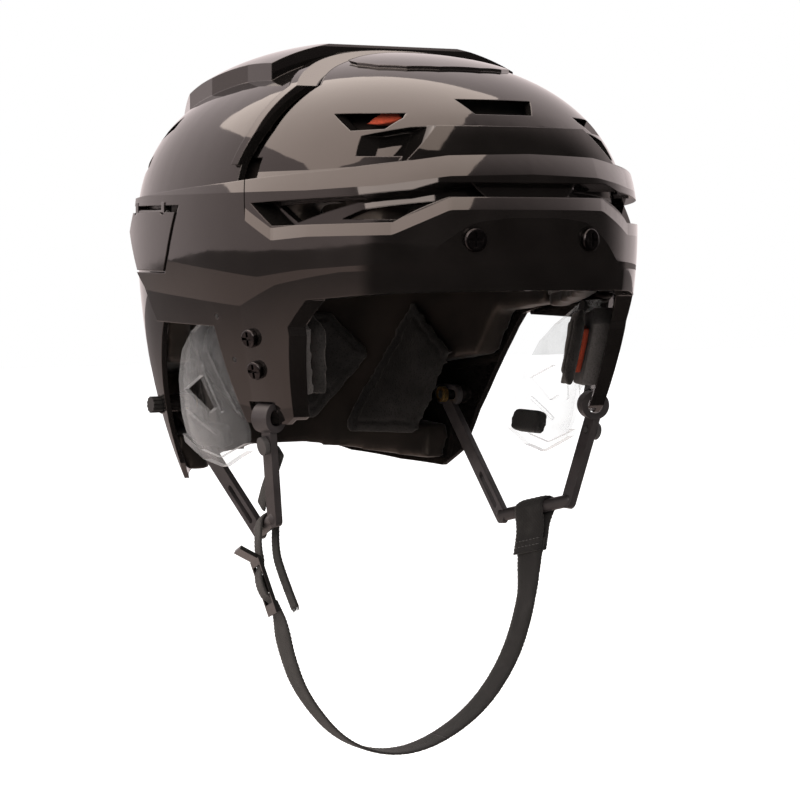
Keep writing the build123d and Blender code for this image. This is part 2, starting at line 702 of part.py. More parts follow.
# Ear guards
def make_ear_guards():
    outline = left_cut(side_points(guard_shares))
    guard = layer(guard_inset, guard_inset + guard_wall, rear_lower_reach) & outline
    rim = left_cut(side_points(guard_rim_shares))
    guard += layer(guard_inset - guard_rim_rise, guard_inset + guard_wall, rear_lower_reach) & rim
    for (start, end) in guard_rib_shares:
        (y0, z0), (y1, z1) = side_points([start, end])
        run = Vector(0, y1 - y0, z1 - z0).normalized()
        aside = Vector(0, -run.Z, run.Y) * guard_rib_width / 2
        points = [
            (y0 + aside.Y, z0 + aside.Z), (y1 + aside.Y, z1 + aside.Z),
            (y1 - aside.Y, z1 - aside.Z), (y0 - aside.Y, z0 - aside.Z)]
        rib = layer(guard_inset - guard_rib_rise, guard_inset + guard_wall / 2, rear_lower_reach)
        guard += rib & left_cut(points)
    guard -= left_cut(side_points(guard_window_shares))
    pegs = []
    depth = guard_inset + guard_wall + 2 * clearance
    for plane in guard_peg_planes():
        guard -= extrude(plane * Circle(guard_peg_radius / 2 + clearance), amount=2 * depth, both=True)
        under = plane.offset(-depth)
        peg = extrude(under * Circle(guard_peg_head), amount=-peg_head_height)
        peg += extrude(under * Circle(guard_peg_radius / 2), amount=depth)
        pegs.append(peg.solid())
    save_pair("ear_guard", largest(guard))
    save_pair("ear_guard_pegs", Compound(pegs))


def guard_peg_planes():
    """Planes on the front shell's skin where the push pegs of the ear guard end."""
    return [seat_plane(side_point(y, z)) for y, z in side_points(guard_peg_shares)]


def make_guard_pads():
    """Small foam rest on the inside of each ear guard's lower rim."""
    y, z = side_points(guard_pad_shares)[0]
    centre = side_point(y, z, guard_inset + guard_wall + clearance, rear_lower_reach)
    plane = Plane(origin=centre, x_dir=Vector(0, 1, 0), z_dir=outward(centre, 0.0, rear_lower_reach))
    outline = plane.offset(-guard_pad_depth) * RectangleRounded(guard_pad_length, guard_pad_height, guard_pad_height / 3)
    pad = extrude(outline, amount=guard_pad_depth + guard_wall)
    pad = pad & form(guard_inset + guard_wall + clearance, rear_lower_reach)
    save_pair("ear_guard_pad", largest(pad))


# Ear loops
def bar_tangent():
    ahead = side_point(hook_y + hook_width / 2, hook_z, shell_wall / 2)
    behind = side_point(hook_y - hook_width / 2, hook_z, shell_wall / 2)
    return (ahead - behind).normalized()


def make_ear_loops():
    tangent = bar_tangent()
    start = hook_centre - tangent * hook_width / 2
    end = hook_centre + tangent * hook_width / 2
    outer_radius = hook_radius + hook_wall
    loop = rod(start, end, outer_radius)
    below = hook_centre - Vector(0, 0, outer_radius - hook_wall / 2)
    along = Vector(0, 1, 0)
    loop += link(below, front_bend, along, arm_width, arm_thickness)
    loop += rod(front_bend, rear_bend, bar_radius)
    loop += Solid.make_sphere(bar_radius, Plane(front_bend)) + Solid.make_sphere(bar_radius, Plane(rear_bend))
    tab_low = post_centre - Vector(0, 0, arm_width / 2)
    run = (tab_low - rear_bend).normalized()
    across_run = run.cross(Vector(1, 0, 0)).normalized()
    rear_arm = link(rear_bend, tab_low, across_run, arm_width, tab_thickness)
    slot_start = rear_bend + run * (arm_width / 2 + arm_slot_width)
    slot_end = slot_start + run * arm_slot_length
    rear_arm -= link(slot_start, slot_end, across_run, arm_slot_width, 3 * arm_thickness)
    loop += rear_arm
    tab_plane = Plane(origin=post_centre, x_dir=Vector(0, 1, 0), z_dir=Vector(1, 0, 0))
    tab_height = 2 * (post_radius + post_play + tab_margin)
    loop += extrude(tab_plane * SlotOverall(2 * tab_half, tab_height), amount=tab_thickness / 2, both=True)
    slot = tab_plane * SlotOverall(2 * (tab_half - tab_margin), 2 * (post_radius + post_play))
    loop -= extrude(slot, amount=2 * tab_thickness, both=True)
    loop -= rod(start - tangent * hook_width, end + tangent * hook_width, hook_radius)
    place, normal = button_place()
    stem = button_stem_radius + clearance
    loop -= rod(place - normal * 2 * arm_thickness, place + normal * 2 * arm_thickness, stem)
    save_pair("ear_loop", largest(loop))
    button = rod(place + normal * wrap_gap, place + normal * (wrap_gap + button_height), button_radius)
    button += rod(place - normal * (arm_thickness + wrap_gap), place + normal * wrap_gap, button_stem_radius)
    save_pair("loop_button", button)


def button_place():
    """Place on the outer face of the front arm just under the hook, and that face's normal."""
    below = hook_centre - Vector(0, 0, hook_radius + hook_wall / 2)
    run = (front_bend - below).normalized()
    normal = Vector(0, 1, 0).cross(run).normalized()
    if normal.X < 0:
        normal = normal * -1
    place = below + run * (button_radius + hook_wall) + normal * arm_thickness / 2
    return place, normal


def make_rear_posts():
    """Knob and shaft that carry the ear loop's tab, and the brass insert that ends the shaft."""
    skin = post_skin()
    inner = post_centre - Vector(tab_thickness / 2 + post_gap, 0, 0)
    insert_end = inner - Vector(insert_height, 0, 0)
    seat = skin + Vector(clearance, 0, 0)
    post = rod(seat, seat + Vector(knob_height, 0, 0), knob_radius)
    grip_plane = Plane(origin=seat, z_dir=Vector(1, 0, 0))
    for turn in range(0, 360, 30):
        notch = grip_plane * Rot(0, 0, turn) * Location((knob_radius, 0, 0)) * Circle(knob_radius / 8)
        post -= extrude(notch, amount=knob_height)
    post += rod(insert_end, seat, post_radius)
    save_pair("rear_post", post)
    insert = rod(insert_end, inner, 2 * post_radius)
    insert -= rod(insert_end, inner, post_radius + nut_play)
    save_pair("post_insert", insert)


# Webbing
def strip_sides(points, thickness):
    """Left and right edge points of a strip that follows points in its plane."""
    left, right = [], []
    for index, (x, z) in enumerate(points):
        before = points[max(index - 1, 0)]
        after = points[min(index + 1, len(points) - 1)]
        into = Vector(x - before[0], z - before[1], 0).normalized() if index else None
        onto = Vector(after[0] - x, after[1] - z, 0).normalized() if index < len(points) - 1 else into
        into = into or onto
        bisector = (into + onto).normalized()
        half = thickness / 2 / max(bisector.dot(into), sharpest_share)
        left.append((x - bisector.Y * half, z + bisector.X * half))
        right.append((x + bisector.Y * half, z - bisector.X * half))
    return left, right


def strip(points, side, thickness, width):
    """Webbing of straight runs that leans along the ear loop's bar on one side."""
    left, right = strip_sides(points, thickness)
    return leaning(Polyline(*left, *right[::-1], close=True), side, width)


def leaning(outline, side, width):
    """Outline in the strap's plane, drawn out both ways along the ear loop's bar."""
    run = Vector(side * bar_run.X, bar_run.Y, bar_run.Z)
    face = strap_frame() * make_face(outline)
    reach = width / 2 / bar_run.Y
    return extrude(face, amount=reach, dir=run) + extrude(face, amount=reach, dir=run * -1)


def strap_frame():
    """Plane across the webbing, whose local directions are across and up."""
    return Plane(origin=(0, bar_middle.Y, 0), x_dir=(1, 0, 0), z_dir=(0, -1, 0))


def corner_radii(points):
    radii = []
    for before, here, after in zip(points, points[1:], points[2:]):
        into = Vector(here[0] - before[0], here[1] - before[1], 0)
        onto = Vector(after[0] - here[0], after[1] - here[1], 0)
        turn = radians(into.get_angle(onto))
        radii.append(corner_share * min(into.length, onto.length) / tan(turn / 2))
    return radii


def make_chin_strap():
    radii = corner_radii(strap_route)
    print("chin strap radii", [round(radius, 1) for radius in radii])
    left, right = strip_sides(strap_route, webbing_thickness)
    path = FilletPolyline(*strap_route, radius=radii)
    half = webbing_thickness / 2
    inner = FilletPolyline(*left, radius=[radius + half * turn_sign(strap_route) for radius in radii])
    outer = FilletPolyline(*right, radius=[radius - half * turn_sign(strap_route) for radius in radii])
    ends = [Line(left[0], right[0]), Line(left[-1], right[-1])]
    face = make_face([*inner.edges(), *outer.edges(), *ends])
    strap = extrude(strap_frame() * face, amount=webbing_width / 2, both=True)
    print("chin strap length", round(path.length, 1), "volume share",
          round(strap.volume / (path.length * webbing_thickness * webbing_width), 3))
    save("chin_strap", strap)


def turn_sign(points):
    (x0, z0), (x1, z1), (x2, z2) = points[0], points[1], points[2]
    turning = (x1 - x0) * (z2 - z1) - (z1 - z0) * (x2 - x1)
    return 1 if turning < 0 else -1


def local_points(points, origin, down):
    """Places given as (down, aside) from an origin, as (across, up) in the strap's plane."""
    length = sqrt(down[0] ** 2 + down[1] ** 2)
    (dx, dz) = (down[0] / length, down[1] / length)
    return [(origin[0] + s * dx + n * dz, origin[1] + s * dz - n * dx) for s, n in points]


def bar_turn(radius):
    """Turn of webbing over the bar, as (down, aside) places from one side to the other."""
    angles = [radians(angle) for angle in range(0, 181, 30)]
    return [(-radius * sin(angle), radius * cos(angle)) for angle in angles]


def make_strap_wrap():
    """Stitched end of the webbing round the left loop's bar."""
    half = webbing_thickness / 2
    centre = (bar_middle.X, bar_middle.Z)
    down = (strap_route[0][0] - centre[0], strap_route[0][1] - centre[1])
    lean = abs(bar_run.Z / bar_run.Y) * webbing_width / 2
    end = sqrt(down[0] ** 2 + down[1] ** 2) - 2 * wrap_gap - lean
    turn = bar_turn(turn_radius)
    middle = len(turn) // 2
    first = [(end, half), (end / 2, half)] + turn[:middle + 1]
    second = turn[middle:] + [(end / 2, -half), (end, -half)]
    wrap = strip(local_points(first, centre, down), 1, webbing_thickness, webbing_width)
    wrap += strip(local_points(second, centre, down), 1, webbing_thickness, webbing_width)
    save("strap_wrap", wrap)


def buckle_points(points):
    """Places given as (down the buckle, outward from the face)."""
    top, bottom = front_points(buckle_shares)
    return local_points(points, top, (bottom[0] - top[0], bottom[1] - top[1]))


def buckle_block(start, end, thickness, width):
    half = thickness / 2
    corners = buckle_points([(start, -half), (end, -half), (end, half), (start, half)])
    return leaning(Polyline(*corners, close=True), -1, width)


def make_buckle():
    """Three-bar slide with a lifted thumb lip."""
    buckle = buckle_block(0, buckle_length, buckle_wall, webbing_width + 2 * buckle_side)
    for place in (buckle_first_slot, buckle_second_slot):
        start = place - buckle_slot / 2
        buckle -= buckle_block(start, start + buckle_slot, 2 * buckle_wall, webbing_width + 2 * clearance)
    lip_end = (-buckle_lip_length * lip_run_share, buckle_lip_length * lip_rise_share)
    lip = buckle_points([(buckle_wall, 0), (0, 0), lip_end])
    save("strap_buckle", buckle + strip(lip, -1, buckle_wall, webbing_width))


def make_strap_loop():
    """Webbing that runs through the buckle, round the right loop's bar and back to a free tail."""
    gap = buckle_wall / 2 + webbing_thickness / 2 + clearance
    first, second = buckle_first_slot, buckle_second_slot
    through = [
        (buckle_length + webbing_thickness, -gap), (second + gap, -gap), (second - gap, gap),
        (first + gap, gap), (first - gap, -gap), (-2 * gap, -gap - webbing_thickness / 2)]
    centre = (-bar_middle.X, bar_middle.Z)
    turn = local_points(bar_turn(turn_radius), centre, (0, -1))
    if turn[0][0] > turn[-1][0]:
        turn = turn[::-1]
    points = buckle_points(through) + turn + front_points(tail_shares)
    save("strap_loop", strip(points, -1, webbing_thickness, webbing_width))


def make_hook_web():
    """Short web from the right loop's button down towards the back of its lower bar."""
    place, normal = button_place()
    inner = place - normal * (arm_thickness + wrap_gap + 2 * webbing_thickness)
    start = Vector(-inner.X, inner.Y, inner.Z - button_radius)
    low = bar_middle + bar_run * webbing_width
    end = Vector(-low.X, low.Y, low.Z + bar_radius + webbing_width / 2)
    save("hook_web", link(start, end, (0, 1, 0), webbing_width / 2, webbing_thickness))


# Foam and pads
def make_liners():
    front = layer(liner_outer, liner_inner) & side_cut(front_liner_shares)
    relief = peg_slot(peg_head_radius + clearance, recess_inset, liner_outer + 2 * shell_wall)
    front = front - relief - mirrored(relief)
    for shares in lower_vent_shares:
        front -= side_cut(shares)
    save("front_liner", largest(front))
    rear = layer(rear_liner_outer, rear_liner_inner, rear_lower_reach) & side_cut(rear_liner_shares)
    for shares in rear_vent_shares:
        rear -= side_cut(shares)
    save("rear_liner", largest(rear))


def cushion(inset, thickness, reach, face, run):
    """Pad whose crown stands up inside a lower border; run is the way its outline is drawn out."""
    border = layer(inset, inset + pad_border_share * thickness, reach)
    crown = layer(inset, inset + thickness, reach)
    pad = border & extrude(face, amount=trim_reach, dir=run)
    for raised in offset(face, amount=-pad_border, kind=Kind.INTERSECTION).faces():
        pad += crown & extrude(raised, amount=trim_reach, dir=run)
    return largest(pad)


def make_pads():
    inset = liner_inner + foam_gap
    front_pad = layer(inset, inset + pad_thickness)
    save("brow_pad", largest(front_pad & side_cut(brow_pad_shares)))
    save("crown_pad", largest(front_pad & plan_cut(crown_pad_shares)))
    side = side_face(side_points(side_pad_shares))
    save_pair("side_pad", cushion(inset, pad_thickness, front_lower_reach, side, (1, 0, 0)))
    rear_face = rear_liner_inner + foam_gap
    rear = front_face(rear_pad_shares)
    save_pair("rear_pad", cushion(rear_face, pad_thickness, rear_lower_reach, rear, (0, 1, 0)))
    nape = front_face(nape_pad_shares)
    save("nape_pad", cushion(rear_face, pad_thickness, rear_lower_reach, nape, (0, 1, 0)))


def make_temple_foam():
    """Grey block behind each temple, with a bright insert and a cushion on it."""
    outline = side_points(temple_block_shares)
    block = layer(shell_wall + foam_gap, temple_block_inner) & left_cut(outline)
    for plane in temple_planes():
        block -= extrude(plane * Circle(nut_flange_radius + clearance), amount=-screw_length - clearance)
    save_pair("temple_block", largest(block))
    insert_outer = temple_block_inner + foam_gap
    insert_inner = insert_outer + temple_insert_wall
    insert = layer(insert_outer, insert_inner) & left_cut(side_points(temple_insert_shares))
    save_pair("temple_insert", largest(insert))
    face = side_face(outline)
    soft = cushion(insert_inner + foam_gap, temple_cushion_wall, front_lower_reach, face, (1, 0, 0))
    save_pair("temple_cushion", soft)
    vent_face = side_face(side_points(vent_insert_shares)).moved(Location((vent_insert_across, 0, 0)))
    vent_insert = layer(dome_inset + shell_wall + foam_gap, liner_outer - foam_gap)
    vent_insert = vent_insert & extrude(vent_face, amount=trim_reach, dir=(1, 0, 0))
    save_pair("vent_insert", largest(vent_insert))


make_front_shell()
make_rear_shell()
make_guide_pegs()
make_racks()
make_latches()
make_screws()
make_ear_guards()
make_guard_pads()
make_ear_loops()
make_rear_posts()
make_liners()
make_pads()
make_temple_foam()
make_chin_strap()
make_strap_wrap()
make_buckle()
make_strap_loop()
make_hook_web()
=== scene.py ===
"""Dresses the packed ice hockey helmet: its finishes, padding, foam, webbing, small trim and a plain studio."""

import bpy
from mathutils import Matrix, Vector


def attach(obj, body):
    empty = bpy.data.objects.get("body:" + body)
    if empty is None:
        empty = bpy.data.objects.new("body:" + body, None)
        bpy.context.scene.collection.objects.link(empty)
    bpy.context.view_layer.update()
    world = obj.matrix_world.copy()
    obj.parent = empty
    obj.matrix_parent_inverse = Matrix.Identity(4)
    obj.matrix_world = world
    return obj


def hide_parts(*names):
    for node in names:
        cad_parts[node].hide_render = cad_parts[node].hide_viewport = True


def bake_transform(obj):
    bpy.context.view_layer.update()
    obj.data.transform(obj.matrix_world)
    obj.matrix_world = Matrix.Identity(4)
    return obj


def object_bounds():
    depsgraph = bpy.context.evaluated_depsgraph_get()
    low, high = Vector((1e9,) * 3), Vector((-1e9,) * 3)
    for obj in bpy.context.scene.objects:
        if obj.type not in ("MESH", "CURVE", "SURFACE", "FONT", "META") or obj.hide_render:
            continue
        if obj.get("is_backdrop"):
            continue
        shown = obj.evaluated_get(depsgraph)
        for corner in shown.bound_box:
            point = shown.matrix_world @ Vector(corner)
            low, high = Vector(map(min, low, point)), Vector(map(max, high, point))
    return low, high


bl_info = {
    "name": "Ice hockey helmet",
    "version": (1, 0, 0),
    "blender": (4, 5, 0),
    "location": "3D View > Sidebar > Helmet",
    "description": "Finishes, padding, foam and webbing for an ice hockey helmet",
    "category": "Object",
}

import math
import random

import bmesh
import bpy
from mathutils import Vector
from mathutils.kdtree import KDTree

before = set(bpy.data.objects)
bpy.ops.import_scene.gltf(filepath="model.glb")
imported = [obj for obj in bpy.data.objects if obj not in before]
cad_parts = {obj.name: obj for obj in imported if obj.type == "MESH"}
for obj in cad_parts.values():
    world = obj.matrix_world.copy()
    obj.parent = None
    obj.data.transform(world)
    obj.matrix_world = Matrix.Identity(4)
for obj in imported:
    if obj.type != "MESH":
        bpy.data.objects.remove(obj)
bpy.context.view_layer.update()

MM = 0.001
WELD = 0.01 * MM
HEAD = Vector((0.0, 0.005, -0.010))
SIDES = ("left", "right")
WARM = (1.0, 0.9, 0.86)
RIBBON_COLUMNS = 12
THREAD_SIDES = 6
ROUTE_STEPS = 40
PAD_SMOOTHING = 6
PAD_SEAM_INSET = 4.2 * MM

# How squarely a point of a pad faces the head: held under the first, a side wall under the second, and so on
GLUED_FACING = 0.1
WALL_FACING = 0.5
SEAM_FACING = 0.5
BORDER_FACING = 0.6

# First numbers of the random draws
STRAP_SEED = 11
WEB_SEED = 31
HOOK_SEED = 41
FRAY_SEED = 5

# Studio: the way, in plan, that is dim in reflections, and the camera's aim beside and above the origin
DIM_WAY = (0.423, -0.906)
AIM_RIGHT = 10.63 * MM
AIM_UP = -52 * MM
FLOOR_REACH = 8.0

# Webbing routes in millimetres: (across, up) in the upright plane that the chin strap hangs in
STRAP_Y = -25.5
STRAP_LEFT = [(72.2, -121.5), (71.0, -131.0), (69.6, -151.98), (59.05, -181.48), (36.52, -206.5), (18.76, -213.76)]
STRAP_RIGHT = [
    (18.76, -213.76), (1.0, -221.01), (-32.97, -213.46), (-56.5, -187.5), (-65.05, -165.55), (-67.6, -151.5),
    (-69.5, -146.4), (-71.3, -142.2)]
WRAP = [
    (69.6, -127.6), (71.0, -120.5), (71.6, -114.0), (70.08, -105.41), (70.97, -103.28), (72.8, -101.88),
    (75.1, -101.58), (77.23, -102.47), (78.63, -104.31), (78.92, -106.6), (74.9, -114.3), (74.1, -120.5),
    (72.9, -127.8)]
LOOP = [
    (-70.3, -145.2), (-72.0, -141.0), (-76.36, -139.18), (-79.81, -129.8), (-77.44, -124.66),
    (-79.45, -116.88), (-78.96, -106.01), (-78.36, -103.77), (-76.73, -102.14), (-74.5, -101.54),
    (-72.27, -102.14), (-70.63, -103.77), (-70.03, -106.01), (-70.26, -116.47), (-68.38, -126.02),
    (-59.83, -145.97)]
TAIL_END = LOOP[-1]
HOOK_WEB = [
    (-82.28, -52.48, -69.77), (-79.2, -43.0, -76.5), (-75.4, -27.0, -87.6), (-71.6, -16.0, -95.4),
    (-69.58, -10.75, -98.68)]
BAR_RUN = Vector((-0.30721, 0.921857, -0.236222))

# Relief of the front shell: widths in millimetres, slopes, and lines as (degrees round from the brow, millimetres up)
CHAMFER_WIDTH, CHAMFER_SLOPE = 5.5, 0.7
LEDGE_WIDTH, LEDGE_SLOPE = 9, 0.45
WAIST_WIDTH, WAIST_SLOPE = 60, 0.2
RELIEF_LOW = -20.0
RELIEF_HIGH = 80.0
GROOVE_EDGE = [
    (0, 44.0), (11.5, 44.0), (17.2, 43.8), (27.9, 33.1), (44.8, 32.3), (53.3, 30.6), (60.5, 39.5), (62.5, 80.0)]
LEDGE_CREASE = [(0, 54.0), (17.0, 53.0), (30.0, 49.0), (45.0, 47.0), (60.0, 46.5), (80.0, 46.0), (100.0, 46.0)]
UPPER_CREASE = [
    (0, 35.0), (5.0, 35.0), (11.7, 33.2), (14.5, 30.6), (19.1, 23.2), (22.8, 15.9), (35.9, 14.1), (46.4, 12.3),
    (57.3, 9.0), (70.5, 11.9), (87.9, 15.2), (110.0, 17.0)]
LOWER_CREASE = [
    (0, 16.0), (13.5, 12.4), (22.7, 9.8), (26.4, 12.5), (37.9, 11.5), (44.2, 9.2), (52.6, 5.6), (62.8, -4.0),
    (81.7, -1.1), (106.0, 1.7)]


class Shade:
    """A socket of a node tree; arithmetic on it adds Math nodes."""

    def __init__(self, nodes, socket):
        self.nodes = nodes
        self.socket = socket

    def math(self, operation, first, second=None):
        values = {0: first} if second is None else {0: first, 1: second}
        return self.nodes.add("ShaderNodeMath", {"operation": operation}, values)

    def __add__(self, other):
        return self.math("ADD", self, other)

    def __radd__(self, other):
        return self.math("ADD", other, self)

    def __sub__(self, other):
        return self.math("SUBTRACT", self, other)

    def __rsub__(self, other):
        return self.math("SUBTRACT", other, self)

    def __mul__(self, other):
        return self.math("MULTIPLY", self, other)

    def __rmul__(self, other):
        return self.math("MULTIPLY", other, self)

    def __truediv__(self, other):
        return self.math("DIVIDE", self, other)

    def __pow__(self, other):
        return self.math("POWER", self, other)

    def sine(self):
        return self.math("SINE", self)

    def size(self):
        return self.math("ABSOLUTE", self)

    def kept(self, low, high):
        """Value held between two limits."""
        return self.math("MINIMUM", self.math("MAXIMUM", self, low), high)

    def between(self, low, high):
        """Smooth step that is 0 below low and 1 above high."""
        settings = {"interpolation_type": "SMOOTHSTEP"}
        return self.nodes.add("ShaderNodeMapRange", settings, {0: self, 1: low, 2: high})


class Nodes:
    """Nodes of one tree."""

    def __init__(self, tree):
        self.tree = tree

    def add(self, kind, settings=None, inputs=None, output=0):
        """Adds a node, sets it, fills its sockets with values or links, and gives one of its outputs."""
        node = self.tree.nodes.new(kind)
        for key, value in (settings or {}).items():
            if key == "stops":
                for index, (place, colour) in enumerate(value):
                    stops = node.color_ramp.elements
                    stop = stops[index] if index < len(stops) else stops.new(place)
                    stop.position = place
                    stop.color = colour
            else:
                setattr(node, key, value)
        for key, value in (inputs or {}).items():
            self.fill(node.inputs[key], value)
        return Shade(self, node.outputs[output])

    def fill(self, socket, value):
        if isinstance(value, Shade):
            self.tree.links.new(value.socket, socket)
        else:
            socket.default_value = value

    def mix(self, factor, low, high):
        """Colour between two colours."""
        return self.add("ShaderNodeMix", {"data_type": "RGBA"}, {0: factor, 6: low, 7: high}, 2)

    def place(self):
        return self.add("ShaderNodeTexCoord", output="Object")

    def noise(self, size, detail=2.0):
        """Soft random values; size is the width of a patch in metres."""
        return self.add("ShaderNodeTexNoise", None, {"Vector": self.place(), "Scale": 1 / size, "Detail": detail})

    def cells(self, size):
        """Distance to the nearest of scattered points, size metres apart."""
        return self.add("ShaderNodeTexVoronoi", None, {"Vector": self.place(), "Scale": 1 / size})

    def bump(self, height, depth, normal=None, strength=1.0):
        inputs = {"Height": height, "Distance": depth, "Strength": strength}
        if normal is not None:
            inputs["Normal"] = normal
        return self.add("ShaderNodeBump", None, inputs)

    def rounded(self, radius):
        """Normal that rounds sharp edges."""
        return self.add("ShaderNodeBevel", {"samples": 4}, {"Radius": radius})


class Finish(Nodes):
    """A material with one shader; constants are the values that are the same all over."""

    def __init__(self, name, constants):
        self.material = bpy.data.materials.new(name)
        self.material.use_nodes = True
        super().__init__(self.material.node_tree)
        self.shader = self.tree.nodes["Principled BSDF"]
        for key, value in constants.items():
            self.shader.inputs[key].default_value = value

    def feed(self, **sockets):
        for key, value in sockets.items():
            self.fill(self.shader.inputs[key.replace("_", " ")], value)
        return self.material


def scaled(rgb, share=1.0):
    """Opaque colour, lighter or darker by a share."""
    return (rgb[0] * share, rgb[1] * share, rgb[2] * share, 1.0)


# Finishes
def shell_relief(finish):
    """Height in metres of the front shell's chamfers and creases over its smooth form."""
    east, north, up = [finish.add("ShaderNodeSeparateXYZ", None, {0: finish.place()}, index) for index in range(3)]
    turn = east.math("ARCTAN2", east.size(), 0 - north) / math.pi

    def below(line):
        """Distance under a line, less than nothing over it."""
        grey = [(up_mm - RELIEF_LOW) / (RELIEF_HIGH - RELIEF_LOW) for _, up_mm in line]
        stops = [(angle / 180, (value, value, value, 1)) for (angle, _), value in zip(line, grey)]
        level = finish.add("ShaderNodeValToRGB", {"stops": stops}, {"Fac": turn})
        return level * ((RELIEF_HIGH - RELIEF_LOW) * MM) + RELIEF_LOW * MM - up

    chamfer = below(GROOVE_EDGE).kept(0, CHAMFER_WIDTH * MM) * CHAMFER_SLOPE
    ledge = (0 - below(LEDGE_CREASE)).kept(0, LEDGE_WIDTH * MM) * -LEDGE_SLOPE
    waist = below(LOWER_CREASE).kept(0, WAIST_WIDTH * MM) - below(UPPER_CREASE).kept(0, WAIST_WIDTH * MM)
    return chamfer + ledge + waist * WAIST_SLOPE


def gloss_finish(name, look, roughness, tint, relief=None):
    """Polished black moulding: faint ripple, soft smears and rounded edges that catch the light."""
    finish = Finish(name, {
        "IOR": look.gloss_index, "Specular Tint": scaled(tint), "Coat Weight": 0.0})
    smear = finish.noise(22 * MM, 3.0)
    ripple = finish.noise(9 * MM, 1.0)
    speck = finish.noise(0.6 * MM, 2.0)
    body = finish.mix(smear.between(0.3, 0.75), scaled(look.colour, 0.8), scaled(look.colour, 1.3))
    edge = finish.rounded(look.edge_radius)
    normal = finish.bump(ripple, 0.05 * MM, edge, 0.35)
    if relief:
        normal = finish.bump(relief(finish), 1.0, normal)
    return finish.feed(
        Base_Color=body, Roughness=roughness + 0.05 * smear.between(0.45, 0.8) + 0.03 * speck.between(0.6, 0.8),
        Normal=normal)


def moulded_finish(name, rgb, roughness, grain, depth, edge=0.25):
    """Matt moulding with a fine spark-eroded grain."""
    finish = Finish(name, {"IOR": 1.5})
    texture = finish.noise(grain, 3.0)
    cloud = finish.noise(14 * MM, 2.0)
    body = finish.mix(cloud.between(0.3, 0.7), scaled(rgb, 0.82), scaled(rgb, 1.2))
    normal = finish.bump(texture, depth, finish.rounded(edge * MM), 0.6)
    return finish.feed(Base_Color=body, Roughness=roughness + 0.12 * texture.between(0.3, 0.7), Normal=normal)


def metal_finish(name, rgb, roughness, brush):
    """Plated or plain metal with turning marks."""
    finish = Finish(name, {"Metallic": 1.0})
    marks = finish.noise(brush, 4.0)
    dull = finish.noise(3 * MM, 2.0)
    body = finish.mix(dull.between(0.35, 0.7), scaled(rgb, 0.75), scaled(rgb, 1.15))
    normal = finish.bump(marks, 0.03 * MM, finish.rounded(0.2 * MM), 0.5)
    return finish.feed(Base_Color=body, Roughness=roughness + 0.15 * marks.between(0.3, 0.7), Normal=normal)


def clear_finish(rgb):
    """Clear moulding, faint grey where it is seen flat, with a painted reflection that makes it whiter and more opaque
    towards its edges.
    """
    finish = Finish("clear_guard", {"IOR": 1.58, "Roughness": 0.06, "Specular IOR Level": 0.8})
    facing = finish.add("ShaderNodeLayerWeight", None, {"Blend": 0.42}, "Facing")
    haze = finish.noise(7 * MM, 2.0)
    flow = finish.noise(2.5 * MM, 2.0)
    # Painted reflection: where the surface is seen edge-on, the alpha rises and the colour turns whiter
    alpha = 0.11 + 0.72 * facing.between(0.4, 0.95) + 0.05 * haze.between(0.4, 0.8)
    body = finish.mix(facing.between(0.25, 0.85), scaled(rgb, 0.34), scaled(rgb, 1.1))
    normal = finish.bump(flow, 0.06 * MM, finish.rounded(0.5 * MM), 0.2)
    return finish.feed(Base_Color=body, Alpha=alpha, Normal=normal)


def satin_foam_finish(name, rgb, roughness):
    """Heat-pressed foam skin: satin, with a faint orange peel and a painted sheen, a lighter brownish tone laid in soft
    random patches.
    """
    finish = Finish(name, {
        "IOR": 1.5, "Sheen Weight": 0.12, "Sheen Roughness": 0.4, "Specular Tint": (1.0, 0.86, 0.74, 1.0)})
    peel = finish.noise(1.1 * MM, 2.0)
    cloud = finish.noise(18 * MM, 3.0)
    # Painted sheen: a lighter, brownish copy of the colour, mixed in by a random cloud
    painted_sheen_brown = (rgb[0] * 1.15, rgb[1], rgb[2] * 0.95)
    body = finish.mix(cloud.between(0.3, 0.7), scaled(rgb, 0.75), scaled(painted_sheen_brown, 1.25))
    return finish.feed(
        Base_Color=body, Roughness=roughness + 0.12 * cloud.between(0.3, 0.7),
        Normal=finish.bump(peel, 0.08 * MM, None, 0.5))


def open_foam_finish(name, rgb, cell, depth):
    """Cut foam with its cells showing, each cell's pit painted darker as shade."""
    finish = Finish(name, {"IOR": 1.45, "Sheen Weight": 0.1})
    pores_and_shade = finish.cells(cell)
    cloud = finish.noise(9 * MM, 2.0)
    base = finish.mix(cloud.between(0.3, 0.7), scaled(rgb, 0.85), scaled(rgb, 1.12))
    # Painted shade: the colour is darker in the pits of the cells, where the bump sinks
    body = finish.mix(pores_and_shade.between(0.1, 0.55), scaled(rgb, 0.6), base)
    return finish.feed(Base_Color=body, Roughness=0.78 + 0.1 * pores_and_shade, Normal=finish.bump(pores_and_shade, depth, None, 0.7))


def pad_fabric_finish(rgb):
    """Brushed knitted fabric over foam: fine mesh holes painted dark as shade, soft nap and faint wear."""
    finish = Finish("pad_fabric", {
        "IOR": 1.4, "Sheen Weight": 0.35, "Sheen Roughness": 0.45, "Sheen Tint": (0.6, 0.55, 0.52, 1.0)})
    knit_holes_and_shade = finish.cells(1.15 * MM)
    yarn = finish.noise(0.35 * MM, 2.0)
    wear = finish.noise(16 * MM, 3.0)
    base = finish.mix(wear.between(0.35, 0.75), scaled(rgb, 0.8), scaled(rgb, 1.5))
    # Painted shade: the colour is darker in the mesh holes, where the bump sinks
    body = finish.mix(knit_holes_and_shade.between(0.08, 0.45), scaled(rgb, 0.35), base)
    height = 0.7 * knit_holes_and_shade.between(0.05, 0.6) + 0.3 * yarn
    return finish.feed(Base_Color=body, Roughness=0.82 + 0.12 * yarn, Normal=finish.bump(height, 0.25 * MM, None, 0.8))


